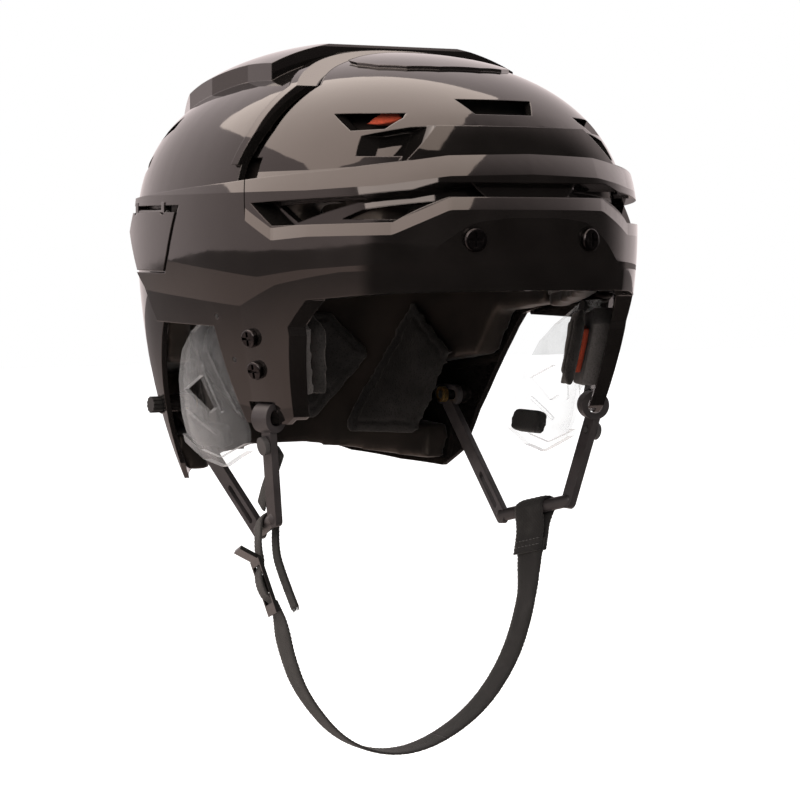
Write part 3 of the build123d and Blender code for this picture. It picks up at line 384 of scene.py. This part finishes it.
def webbing_finish(rgb):
    """Nylon webbing: slanting yarn lines, loose nap, greyer where it rubs."""
    finish = Finish("webbing_nylon", {
        "IOR": 1.5, "Sheen Weight": 0.25, "Sheen Roughness": 0.5, "Sheen Tint": (0.6, 0.58, 0.56, 1.0)})
    parts = [finish.add("ShaderNodeSeparateXYZ", None, {0: finish.place()}, index) for index in range(3)]
    slant = (parts[1] * 2.0 + parts[2] * 1.0 + parts[0] * 0.35) * (2 * math.pi / (1.5 * MM))
    twill = slant.sine() * 0.5 + 0.5
    nap = finish.noise(0.3 * MM, 3.0)
    rub = finish.noise(6 * MM, 3.0)
    base = finish.mix(rub.between(0.45, 0.8), scaled(rgb, 0.9), scaled(rgb, 2.2))
    body = finish.mix(twill * 0.6, base, scaled(rgb, 0.4))
    height = twill * 0.6 + nap * 0.4
    return finish.feed(Base_Color=body, Roughness=0.78 + 0.15 * nap, Normal=finish.bump(height, 0.16 * MM, None, 0.8))


def thread_finish(rgb):
    finish = Finish("thread", {"IOR": 1.5, "Sheen Weight": 0.3})
    twist = finish.noise(0.25 * MM, 2.0)
    body = finish.mix(twist.between(0.3, 0.7), scaled(rgb, 0.6), scaled(rgb, 1.6))
    return finish.feed(Base_Color=body, Roughness=0.6 + 0.2 * twist, Normal=finish.bump(twist, 0.08 * MM))


def dress(material, *names):
    """Gives CAD nodes their finish."""
    for name in names:
        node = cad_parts[name]
        if not node.material_slots:
            node.data.materials.append(material)
        for slot in node.material_slots:
            slot.material = material


def both(name):
    return [name + "_" + side for side in SIDES]


# Meshes
def new_piece(name, mesh, material):
    piece = bpy.data.objects.new(name, mesh)
    bpy.context.scene.collection.objects.link(piece)
    mesh.materials.clear()
    mesh.materials.append(material)
    return piece


def built(name, points, faces, material):
    mesh = bpy.data.meshes.new(name)
    mesh.from_pydata([tuple(point) for point in points], [], faces)
    mesh.validate()
    for polygon in mesh.polygons:
        polygon.use_smooth = True
    return new_piece(name, mesh, material)


def settle(piece):
    """Writes what the modifiers give into the mesh."""
    graph = bpy.context.evaluated_depsgraph_get()
    final = bpy.data.meshes.new_from_object(piece.evaluated_get(graph), depsgraph=graph)
    before = piece.data
    piece.modifiers.clear()
    piece.data = final
    name = before.name
    bpy.data.meshes.remove(before)
    final.name = name
    for polygon in final.polygons:
        polygon.use_smooth = True


def soft_copy(name, node, material, voxel, rounds):
    """Piece with a node's shape, meshed evenly and with its edges rounded off."""
    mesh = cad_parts[node].data.copy()
    mesh.name = name
    work = bmesh.new()
    work.from_mesh(mesh)
    bmesh.ops.remove_doubles(work, verts=work.verts, dist=WELD)
    work.to_mesh(mesh)
    work.free()
    piece = new_piece(name, mesh, material)
    even = piece.modifiers.new("even", "REMESH")
    even.mode = "VOXEL"
    even.voxel_size = voxel
    even.use_smooth_shade = True
    soften = piece.modifiers.new("soften", "SMOOTH")
    soften.factor = 0.5
    soften.iterations = rounds
    settle(piece)
    return piece


def refine(piece, levels=1):
    finer = piece.modifiers.new("finer", "SUBSURF")
    finer.levels = levels
    finer.render_levels = levels
    settle(piece)


def headward(place):
    return (HEAD - place).normalized()


def swell(pieces, sizes):
    """Inflates pads as cloth from their glued backs, and holds back how far each point moves."""
    scene = bpy.context.scene
    for piece in pieces:
        backing = piece.vertex_groups.new(name="backing")
        held = [v.index for v in piece.data.vertices if v.normal.dot(headward(v.co)) < GLUED_FACING]
        backing.add(held, 1.0, "REPLACE")
        cloth = piece.modifiers.new("swell", "CLOTH")
        cloth.settings.vertex_group_mass = "backing"
        cloth.settings.use_pressure = True
        cloth.settings.uniform_pressure_force = sizes.pressure
        cloth.settings.tension_stiffness = 12.0
        cloth.settings.compression_stiffness = 12.0
        cloth.settings.effector_weights.gravity = 0.0
        cloth.collision_settings.use_collision = False
    for number in range(1, sizes.steps + 1):
        scene.frame_set(number)
    graph = bpy.context.evaluated_depsgraph_get()
    for piece in pieces:
        swollen = [v.co.copy() for v in piece.evaluated_get(graph).data.vertices]
        piece.modifiers.clear()
        for vertex, target in zip(piece.data.vertices, swollen):
            move = target - vertex.co
            if move.length > sizes.most_swell:
                move *= sizes.most_swell / move.length
            vertex.co += move
        piece.vertex_groups.clear()
    scene.frame_set(1)


def edge_distances(piece):
    """Distance of each vertex that faces the head from the pad's side walls, or None elsewhere."""
    vertices = piece.data.vertices
    rims = [v for v in vertices if abs(v.normal.dot(headward(v.co))) < WALL_FACING]
    tree = KDTree(len(rims))
    for index, vertex in enumerate(rims):
        tree.insert(vertex.co, index)
    tree.balance()
    faces_head = [v.normal.dot(headward(v.co)) > BORDER_FACING for v in vertices]
    return [tree.find(v.co)[2] if shown else None for v, shown in zip(vertices, faces_head)]


def press(piece, depth, width, distance):
    """Presses a channel where distance(place, index) is near nothing."""
    moves = []
    for vertex in piece.data.vertices:
        gap = distance(vertex.co, vertex.index)
        share = 0.0 if gap is None else math.exp(-(gap / width) ** 2)
        moves.append(vertex.normal * (-depth * share))
    for vertex, move in zip(piece.data.vertices, moves):
        vertex.co += move
    piece.data.update()


def border_channel(piece, inset, sizes):
    distances = edge_distances(piece)
    press(piece, sizes.channel_depth, sizes.channel_width,
          lambda place, index: None if distances[index] is None else distances[index] - inset)


def plane_channel(piece, point, normal, sizes):
    """Sewn line where a plane crosses the side that faces the head."""
    normal = Vector(normal).normalized()
    facing = [v.normal.dot(headward(v.co)) > SEAM_FACING for v in piece.data.vertices]
    press(piece, sizes.channel_depth, sizes.channel_width,
          lambda place, index: (place - Vector(point)).dot(normal) if facing[index] else None)


def smooth_route(points):
    """Points along the NURBS spline that has the route's points as its control points."""
    curve = bpy.data.curves.new("route", "CURVE")
    curve.dimensions = "3D"
    spline = curve.splines.new("NURBS")
    spline.points.add(len(points) - 1)
    for control, point in zip(spline.points, points):
        control.co = (*point, 1.0)
    spline.order_u = 3
    spline.use_endpoint_u = True
    spline.resolution_u = ROUTE_STEPS
    holder = bpy.data.objects.new("route", curve)
    bpy.context.scene.collection.objects.link(holder)
    mesh = bpy.data.meshes.new_from_object(holder)
    path = [vertex.co.copy() for vertex in mesh.vertices]
    bpy.data.objects.remove(holder)
    bpy.data.curves.remove(curve)
    bpy.data.meshes.remove(mesh)
    return path


def hung(points):
    """Route points of the strap's upright plane, in metres."""
    return [Vector((x, STRAP_Y, z)) * MM for x, z in points]


def leaning(side, width):
    """Half width of webbing that lies along an ear loop's lower bar."""
    run = Vector((side * BAR_RUN.x, BAR_RUN.y, BAR_RUN.z))
    return run * (width / 2 / BAR_RUN.y)


def ribbon(name, path, across, sizes, material, seed):
    """Woven strap along a path, with raised yarns and uneven edges; across(share) is its half width."""
    rng = random.Random(seed)
    last = len(path) - 1
    shares = [-1 + 2 * index / RIBBON_COLUMNS for index in range(RIBBON_COLUMNS + 1)]
    points = []
    travelled = 0.0
    for index, place in enumerate(path):
        if index:
            travelled += (place - path[index - 1]).length
        ahead = path[min(index + 1, last)] - path[max(index - 1, 0)]
        side = across(index / last)
        normal = ahead.cross(side).normalized()
        fringe = 1 + rng.uniform(-1, 1) * sizes.edge_wander
        turn = 2 * math.pi * travelled / sizes.yarn_pitch
        upper, lower = [], []
        for column, share in enumerate(shares):
            half = sizes.thickness / 2 * (1 - abs(share) ** 6 * 0.75)
            yarn = sizes.yarn_rise * math.sin(turn + math.pi * (column % 2))
            middle = place + side * share * fringe
            upper.append(middle + normal * (half + yarn))
            lower.append(middle - normal * (half - yarn))
        points += upper + lower[::-1]
    count = 2 * len(shares)
    faces = []
    for index in range(last):
        for corner in range(count):
            following = (corner + 1) % count
            start, end = index * count, (index + 1) * count
            faces.append((start + corner, start + following, end + following, end + corner))
    faces.append(tuple(range(count))[::-1])
    faces.append(tuple(last * count + corner for corner in range(count)))
    piece = built(name, points, faces, material)
    turn_out(piece)
    return piece


def turn_out(piece):
    """Turns every face's normal outward."""
    work = bmesh.new()
    work.from_mesh(piece.data)
    bmesh.ops.recalc_face_normals(work, faces=work.faces)
    work.to_mesh(piece.data)
    work.free()


def strands(name, runs, radius, material, sides=THREAD_SIDES):
    """Short threads, each along three or more points, thin at both ends."""
    points, faces = [], []
    for run in runs:
        base = len(points)
        last = len(run) - 1
        for index, place in enumerate(run):
            ahead = (run[min(index + 1, last)] - run[max(index - 1, 0)]).normalized()
            first = ahead.orthogonal().normalized()
            second = ahead.cross(first)
            reach = radius * (0.35 if index in (0, last) else 1.0)
            for corner in range(sides):
                angle = 2 * math.pi * corner / sides
                points.append(place + (first * math.cos(angle) + second * math.sin(angle)) * reach)
        for index in range(last):
            for corner in range(sides):
                following = (corner + 1) % sides
                start, end = base + index * sides, base + (index + 1) * sides
                faces.append((start + corner, start + following, end + following, end + corner))
        faces.append(tuple(base + corner for corner in range(sides))[::-1])
        faces.append(tuple(base + last * sides + corner for corner in range(sides)))
    piece = built(name, points, faces, material)
    turn_out(piece)
    return piece


# Settings
class ShellLook(bpy.types.PropertyGroup):
    colour: bpy.props.FloatVectorProperty(
        name="Shell colour", description="Body colour of the polished shell", subtype="COLOR",
        default=(0.0065, 0.0058, 0.0055))
    gloss_index: bpy.props.FloatProperty(
        name="Gloss", description="Refractive index of the polished skin", default=1.62, min=1.3, max=2.0)
    edge_radius: bpy.props.FloatProperty(
        name="Edge radius", description="Rounding of the shell's edges in the light", default=0.7 * MM,
        min=0.0, subtype="DISTANCE", unit="LENGTH")


class PaddingSizes(bpy.types.PropertyGroup):
    colour: bpy.props.FloatVectorProperty(
        name="Fabric colour", description="Colour of the padded fabric", subtype="COLOR",
        default=(0.016, 0.0145, 0.014))
    voxel: bpy.props.FloatProperty(
        name="Mesh size", description="Spacing of the pads' mesh before it is refined", default=1.9 * MM,
        min=1.0 * MM, subtype="DISTANCE", unit="LENGTH")
    pressure: bpy.props.FloatProperty(
        name="Pressure", description="Air pressure that swells the pads", default=5.0, min=0.0)
    steps: bpy.props.IntProperty(
        name="Steps", description="Frames of the swelling", default=16, min=1)
    most_swell: bpy.props.FloatProperty(
        name="Most swell", description="Furthest that a point of a pad may move", default=1.4 * MM,
        min=0.0, subtype="DISTANCE", unit="LENGTH")
    channel_depth: bpy.props.FloatProperty(
        name="Channel depth", description="Depth of the sewn channels", default=0.9 * MM,
        min=0.0, subtype="DISTANCE", unit="LENGTH")
    channel_width: bpy.props.FloatProperty(
        name="Channel width", description="Half width of the sewn channels", default=1.1 * MM,
        min=0.1 * MM, subtype="DISTANCE", unit="LENGTH")


class FoamLook(bpy.types.PropertyGroup):
    liner: bpy.props.FloatVectorProperty(
        name="Liner colour", description="Colour of the satin foam liner", subtype="COLOR",
        default=(0.014, 0.0125, 0.0118))
    block: bpy.props.FloatVectorProperty(
        name="Block colour", description="Colour of the foam blocks behind the temples", subtype="COLOR",
        default=(0.075, 0.068, 0.066))
    insert: bpy.props.FloatVectorProperty(
        name="Insert colour", description="Colour of the bright foam inserts", subtype="COLOR",
        default=(0.46, 0.06, 0.022))


class WebbingSizes(bpy.types.PropertyGroup):
    colour: bpy.props.FloatVectorProperty(
        name="Webbing colour", description="Colour of the nylon webbing", subtype="COLOR",
        default=(0.014, 0.013, 0.0125))
    width: bpy.props.FloatProperty(
        name="Width", description="Width of the webbing", default=16 * MM, min=5 * MM,
        subtype="DISTANCE", unit="LENGTH")
    thickness: bpy.props.FloatProperty(
        name="Thickness", description="Thickness of the webbing", default=1.6 * MM, min=0.5 * MM,
        subtype="DISTANCE", unit="LENGTH")
    yarn_pitch: bpy.props.FloatProperty(
        name="Yarn pitch", description="Length of one raised yarn and one gap", default=1.9 * MM, min=0.5 * MM,
        subtype="DISTANCE", unit="LENGTH")
    yarn_rise: bpy.props.FloatProperty(
        name="Yarn rise", description="How far a yarn stands up", default=0.11 * MM, min=0.0,
        subtype="DISTANCE", unit="LENGTH")
    edge_wander: bpy.props.FloatProperty(
        name="Edge wander", description="Unevenness of the edges, as a share of the half width", default=0.018,
        min=0.0, subtype="FACTOR")


class StudioSettings(bpy.types.PropertyGroup):
    azimuth: bpy.props.FloatProperty(
        name="Azimuth", description="Turn of the camera round the helmet", default=math.radians(-31.0), subtype="ANGLE")
    elevation: bpy.props.FloatProperty(
        name="Elevation", description="Height angle of the camera", default=math.radians(3.5), subtype="ANGLE")
    distance: bpy.props.FloatProperty(
        name="Distance", description="Camera to helmet", default=1.3, min=0.3, subtype="DISTANCE", unit="LENGTH")
    lens: bpy.props.FloatProperty(name="Lens", description="Focal length in millimetres", default=121.1, min=20.0)
    top_level: bpy.props.FloatProperty(
        name="Top light", description="Brightness of the overhead soft box", default=2.3, min=0.0)
    key_level: bpy.props.FloatProperty(
        name="Key light", description="Brightness of the soft box ahead on the left", default=4.2, min=0.0)
    fill_level: bpy.props.FloatProperty(
        name="Fill", description="Brightness of the room for dull surfaces", default=0.34, min=0.0)
    floor_drop: bpy.props.FloatProperty(
        name="Floor drop", description="Floor below the lowest point", default=0.24, min=0.0,
        subtype="DISTANCE", unit="LENGTH")


SETTINGS = {
    "helmet_shell": ShellLook, "helmet_padding": PaddingSizes, "helmet_foam": FoamLook,
    "helmet_webbing": WebbingSizes, "helmet_studio": StudioSettings}


# Pieces
class HELMET_OT_shells(bpy.types.Operator):
    """Polished shell halves, latches and slide buckle"""
    bl_idname = "helmet.shells"
    bl_label = "Shells"

    def execute(self, context):
        look = context.scene.helmet_shell
        dress(gloss_finish("polished_front", look, 0.045, WARM, shell_relief), "front_shell")
        dress(gloss_finish("polished_rear", look, 0.045, WARM), "rear_shell")
        dress(gloss_finish("polished_latch", look, 0.1, WARM), *both("latch"))
        dress(moulded_finish("buckle_plastic", (0.012, 0.0115, 0.011), 0.3, 0.5 * MM, 0.02 * MM, 0.4), "strap_buckle")
        return {"FINISHED"}


class HELMET_OT_hardware(bpy.types.Operator):
    """Screws, nuts, pins, toothed strips, knobs and brass inserts"""
    bl_idname = "helmet.hardware"
    bl_label = "Hardware"

    def execute(self, context):
        dress(metal_finish("black_plating", (0.045, 0.04, 0.04), 0.16, 0.4 * MM), "brow_screws",
              *both("temple_screws"))
        dress(metal_finish("plain_steel", (0.5, 0.49, 0.48), 0.26, 0.3 * MM), "brow_nuts", *both("temple_nuts"),
              *both("latch_pin"))
        dress(metal_finish("turned_brass", (0.74, 0.52, 0.2), 0.25, 0.3 * MM), *both("post_insert"))
        dress(moulded_finish("rack_plastic", (0.02, 0.02, 0.02), 0.5, 0.4 * MM, 0.03 * MM), *both("length_rack"),
              "guide_pegs", *both("ear_guard_pegs"))
        dress(moulded_finish("knob_plastic", (0.014, 0.0135, 0.013), 0.42, 0.5 * MM, 0.04 * MM), *both("rear_post"))
        return {"FINISHED"}


class HELMET_OT_guards_and_loops(bpy.types.Operator):
    """Clear ear guards, grey ear loops and their buttons"""
    bl_idname = "helmet.guards_and_loops"
    bl_label = "Ear guards and loops"

    def execute(self, context):
        dress(clear_finish((0.86, 0.87, 0.9)), *both("ear_guard"))
        dress(moulded_finish("loop_plastic", (0.036, 0.031, 0.032), 0.38, 0.35 * MM, 0.03 * MM, 0.5),
              *both("ear_loop"))
        dress(moulded_finish("button_plastic", (0.05, 0.047, 0.047), 0.48, 0.35 * MM, 0.04 * MM, 0.4),
              *both("loop_button"))
        return {"FINISHED"}


class HELMET_OT_liners(bpy.types.Operator):
    """Satin foam liners of the two halves"""
    bl_idname = "helmet.liners"
    bl_label = "Foam liners"

    def execute(self, context):
        material = satin_foam_finish("liner_foam", context.scene.helmet_foam.liner, 0.36)
        for half in ("front", "rear"):
            piece = soft_copy(half + "_foam", half + "_liner", material, 2.2 * MM, 5)
            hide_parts(half + "_liner")
            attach(piece, half + "_half")
        return {"FINISHED"}


class HELMET_OT_pads(bpy.types.Operator):
    """Padded fabric on the liners"""
    bl_idname = "helmet.pads"
    bl_label = "Pads"

    def execute(self, context):
        sizes = context.scene.helmet_padding
        material = pad_fabric_finish(sizes.colour)
        bodies = {
            "brow_pad": "front_half", "crown_pad": "front_half", "side_pad_left": "front_half",
            "side_pad_right": "front_half", "temple_cushion_left": "front_half",
            "temple_cushion_right": "front_half", "rear_pad_left": "rear_half", "rear_pad_right": "rear_half",
            "nape_pad": "rear_half"}
        pads = {node: soft_copy(node + "_fabric", node, material, sizes.voxel, PAD_SMOOTHING) for node in bodies}
        swell(list(pads.values()), sizes)
        for node, piece in pads.items():
            refine(piece)
            border_channel(piece, PAD_SEAM_INSET, sizes)
        for across in (-46, -16, 16, 46):
            plane_channel(pads["brow_pad"], (across * MM, 0, 0), (1, 0, 0), sizes)
        for along in (-38, -14):
            plane_channel(pads["crown_pad"], (0, along * MM, 0), (0, 1, 0), sizes)
        for side in (-1, 1):
            plane_channel(pads["nape_pad"], (side * 24 * MM, 0, -45 * MM), (side, 0, 0.5), sizes)
        for node, piece in pads.items():
            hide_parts(node)
            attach(piece, bodies[node])
        return {"FINISHED"}


class HELMET_OT_temple_foam(bpy.types.Operator):
    """Grey temple blocks with bright inserts, vent inserts and the ear guards' foam rests"""
    bl_idname = "helmet.temple_foam"
    bl_label = "Temple foam"

    def execute(self, context):
        look = context.scene.helmet_foam
        grey = open_foam_finish("temple_foam", look.block, 0.9 * MM, 0.12 * MM)
        bright = open_foam_finish("bright_foam", look.insert, 0.8 * MM, 0.1 * MM)
        dark = open_foam_finish("rest_foam", (0.016, 0.015, 0.015), 0.7 * MM, 0.15 * MM)
        kinds = (
            ("temple_block", "temple_foam", grey, "grey_foam", 1.2 * MM, 3),
            ("temple_insert", "temple_bright", bright, "orange_foam", 0.8 * MM, 3),
            ("vent_insert", "vent_bright", bright, "orange_foam", 0.9 * MM, 3),
            ("ear_guard_pad", "guard_rest", dark, "foam", 1.0 * MM, 6))
        for node, name, material, slot, voxel, rounds in kinds:
            for side in SIDES:
                piece = soft_copy(name + "_" + side, node + "_" + side, material, voxel, rounds)
                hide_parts(node + "_" + side)
                node == "ear_guard_pad"
                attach(piece, "front_half")
        return {"FINISHED"}


class HELMET_OT_chin_strap(bpy.types.Operator):
    """Chin strap in two lengths of webbing that meet under the chin"""
    bl_idname = "helmet.chin_strap"
    bl_label = "Chin strap"

    def execute(self, context):
        sizes = context.scene.helmet_webbing
        material = webbing_finish(sizes.colour)
        level = Vector((0, sizes.width / 2, 0))
        kinds = (
            ("strap_left", STRAP_LEFT, 1, "loop_left", "front_half"),
            ("strap_right", STRAP_RIGHT, -1, "front_half", "loop_right"))
        for number, (name, route, side, first, second) in enumerate(kinds):
            path = smooth_route(hung(route))
            lean = leaning(side, sizes.width)
            near_loop = (lambda share: 1 - share) if side > 0 else (lambda share: share)
            piece = ribbon(
                name, path, lambda share: level.lerp(lean, max(0.0, 1 - 3 * (1 - near_loop(share)))),
                sizes, material, STRAP_SEED + number)
            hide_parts("chin_strap")
            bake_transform(piece)
        return {"FINISHED"}


class HELMET_OT_webbing(bpy.types.Operator):
    """Webbing at the ear loops, its stitching and its frayed tail"""
    bl_idname = "helmet.webbing"
    bl_label = "Webbing"

    def execute(self, context):
        sizes = context.scene.helmet_webbing
        material = webbing_finish(sizes.colour)
        thread = thread_finish((0.05, 0.047, 0.045))
        kinds = (
            ("wrap_web", WRAP, 1, "strap_wrap", "loop_left"),
            ("buckle_web", LOOP, -1, "strap_loop", "loop_right"))
        for number, (name, route, side, node, body) in enumerate(kinds):
            path = smooth_route(hung(route))
            lean = leaning(side, sizes.width)
            piece = ribbon(name, path, lambda share: lean, sizes, material, WEB_SEED + number)
            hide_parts(node)
            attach(piece, body)
        narrow = sizes.width / 4
        path = smooth_route([Vector(point) * MM for point in HOOK_WEB])
        across = Vector((0, narrow * 0.8, narrow * 0.6))
        piece = ribbon("hook_tape", path, lambda share: across, sizes, material, HOOK_SEED)
        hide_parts("hook_web")
        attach(piece, "loop_right")
        self.stitches(sizes, thread)
        self.fray(sizes, thread)
        return {"FINISHED"}

    def stitches(self, sizes, thread):
        """Two rows of stitches across the wrap under the left loop's bar."""
        half = leaning(1, sizes.width)
        runs = []
        for row in (0.55, 0.85):
            low = Vector((71.58 - 1.4 * row, STRAP_Y, -116.5 - 9.5 * row)) * MM
            for face in (-1, 1):
                out = Vector((face * 0.99, 0, -face * 0.13))
                for index in range(7):
                    start = -0.88 + index * 0.26
                    base = low + Vector((1.5, 0, 0)) * MM * (0.0 if face < 0 else 1.0)
                    ends = [base + half * share + out * 0.95 * MM for share in (start, start + 0.1, start + 0.2)]
                    ends[1] = ends[1] + out * 0.25 * MM
                    runs.append(ends)
        piece = strands("wrap_stitches", runs, 0.28 * MM, thread)
        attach(piece, "loop_left")

    def fray(self, sizes, thread):
        """Loose fibres at the cut end of the tail."""
        rng = random.Random(FRAY_SEED)
        half = leaning(-1, sizes.width)
        end = Vector((TAIL_END[0], STRAP_Y, TAIL_END[1])) * MM
        away = Vector((0.39, 0, -0.92))
        runs = []
        for index in range(60):
            base = end + half * rng.uniform(-0.97, 0.97) + Vector((rng.uniform(-0.5, 0.5), 0, 0)) * MM
            drift = Vector((rng.uniform(-0.4, 0.4), rng.uniform(-0.4, 0.4), rng.uniform(-0.2, 0.2)))
            length = rng.uniform(0.5, 1.9) * MM
            middle = base + away * length * 0.5
            runs.append([base - away * MM * 0.4, middle, middle + (away + drift) * length * 0.6])
        piece = strands("tail_fray", runs, 0.09 * MM, thread, 4)
        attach(piece, "loop_right")


class HELMET_OT_studio(bpy.types.Operator):
    """Plain pale floor, soft lights, white surround and the camera"""
    bl_idname = "helmet.studio"
    bl_label = "Studio"

    def execute(self, context):
        scene = context.scene
        settings = scene.helmet_studio
        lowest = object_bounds()[0].z - settings.floor_drop
        self.floor(lowest)
        self.soft_box("top_light", Vector((-0.35, 0.25, 1.5)), (2.6, 2.2), settings.top_level, (1.0, 0.88, 0.78))
        self.soft_box("key_light", Vector((-1.0, -1.25, 0.85)), (1.3, 0.9), settings.key_level, (1.0, 0.93, 0.88))
        self.surround(scene, settings)
        self.camera(scene, settings)
        scene.view_settings.view_transform = "Standard"
        return {"FINISHED"}

    def floor(self, height):
        corners = [
            (east * FLOOR_REACH, north * FLOOR_REACH, height) for east, north in ((-1, -1), (1, -1), (1, 1), (-1, 1))]
        finish = Finish("floor_paper", {"Roughness": 0.9, "Specular IOR Level": 0.1})
        grain = finish.noise(0.02, 3.0)
        shown = finish.mix(grain, (0.86, 0.86, 0.86, 1), (0.88, 0.88, 0.88, 1))
        east, north = [finish.add("ShaderNodeSeparateXYZ", None, {0: finish.place()}, index) for index in range(2)]
        glossy = finish.add("ShaderNodeLightPath", output="Is Glossy Ray")
        reflected = finish.mix(self.ahead(east, north), (0.62, 0.54, 0.53, 1), (0.03, 0.025, 0.025, 1))
        seen = finish.add("ShaderNodeLightPath", output="Is Camera Ray")
        glow = finish.mix(seen, (0.0, 0.0, 0.0, 1), (1.0, 1.0, 1.0, 1))
        finish.shader.inputs["Emission Strength"].default_value = 1.0
        material = finish.feed(Base_Color=finish.mix(glossy, shown, reflected), Emission_Color=glow)
        built("floor", corners, [(0, 1, 2, 3)], material)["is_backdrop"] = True

    def ahead(self, east, north):
        """1 over the half of the surroundings from just left of the photograph's camera round to the right."""
        level = (east ** 2.0 + north ** 2.0) ** 0.5
        return ((east * DIM_WAY[0] + north * DIM_WAY[1]) / level).between(0.08, 0.26)

    def soft_box(self, name, place, size, level, tint):
        """Area light aimed at the helmet; level is its brightness in the units in which a white surface is 1."""
        lamp = bpy.data.lights.new(name, "AREA")
        lamp.shape = "RECTANGLE"
        lamp.size, lamp.size_y = size
        lamp.energy = level * math.pi * size[0] * size[1]
        lamp.color = tint
        holder = bpy.data.objects.new(name, lamp)
        bpy.context.scene.collection.objects.link(holder)
        holder.location = place
        holder.rotation_mode = "QUATERNION"
        holder.rotation_quaternion = (-place).to_track_quat("-Z", "Y")

    def surround(self, scene, settings):
        """White to the camera and through clear pieces; in reflections, white behind and dim ahead on the right."""
        world = bpy.data.worlds.new("surround")
        scene.world = world
        world.use_nodes = True
        nodes = Nodes(world.node_tree)
        way = nodes.add("ShaderNodeTexCoord", output="Generated")
        east, north, up = [nodes.add("ShaderNodeSeparateXYZ", None, {0: way}, index) for index in range(3)]
        behind = (north - 0.3 * east + 0.3).between(-0.25, 0.45)
        low = 1 - up.between(0.02, 0.4)
        mirrored = 0.04 + 0.96 * behind + 1.1 * low * (1 - behind) * (1 - 0.97 * self.ahead(east, north))
        seen = nodes.add("ShaderNodeLightPath", output="Is Camera Ray")
        through = nodes.add("ShaderNodeLightPath", output="Is Transmission Ray")
        glossy = nodes.add("ShaderNodeLightPath", output="Is Glossy Ray")
        dull = settings.fill_level * (1 - glossy) + mirrored * glossy
        plain = (seen + through).between(0.0, 1.0)
        strength = plain + dull * (1 - plain)
        background = world.node_tree.nodes["Background"]
        nodes.fill(background.inputs["Color"], nodes.mix(glossy, (1.0, 1.0, 1.0, 1.0), (1.0, 0.87, 0.86, 1.0)))
        nodes.fill(background.inputs["Strength"], strength)

    def camera(self, scene, settings):
        right = Vector((math.cos(settings.azimuth), math.sin(settings.azimuth), 0))
        level = Vector((-math.sin(settings.azimuth), math.cos(settings.azimuth), 0))
        forward = level * math.cos(settings.elevation) - Vector((0, 0, math.sin(settings.elevation)))
        target = right * AIM_RIGHT + Vector((0, 0, AIM_UP))
        lens = bpy.data.cameras.new("camera")
        lens.lens = settings.lens
        lens.sensor_width = 36.0
        lens.clip_start = 0.05
        holder = bpy.data.objects.new("camera", lens)
        scene.collection.objects.link(holder)
        holder.location = target - forward * settings.distance
        holder.rotation_mode = "QUATERNION"
        holder.rotation_quaternion = forward.to_track_quat("-Z", "Y")
        scene.camera = holder


class HELMET_PT_sidebar(bpy.types.Panel):
    """Steps that dress the helmet, in order"""
    bl_label = "Helmet"
    bl_idname = "HELMET_PT_sidebar"
    bl_space_type = "VIEW_3D"
    bl_region_type = "UI"
    bl_category = "Helmet"

    def draw(self, context):
        for step in STEPS:
            self.layout.operator(step.bl_idname, text=step.bl_label)


STEPS = (
    HELMET_OT_chin_strap, HELMET_OT_webbing, HELMET_OT_shells, HELMET_OT_hardware, HELMET_OT_guards_and_loops,
    HELMET_OT_liners, HELMET_OT_temple_foam, HELMET_OT_pads, HELMET_OT_studio)


def register():
    for kind in (*SETTINGS.values(), *STEPS, HELMET_PT_sidebar):
        bpy.utils.register_class(kind)
    for name, kind in SETTINGS.items():
        setattr(bpy.types.Scene, name, bpy.props.PointerProperty(type=kind))


def unregister():
    for name in SETTINGS:
        delattr(bpy.types.Scene, name)
    for kind in (HELMET_PT_sidebar, *reversed(STEPS), *reversed(list(SETTINGS.values()))):
        bpy.utils.unregister_class(kind)


def main():
    register()
    for step in STEPS:
        group, name = step.bl_idname.split(".")
        getattr(getattr(bpy.ops, group), name)()


if __name__ == "__main__":
    main()
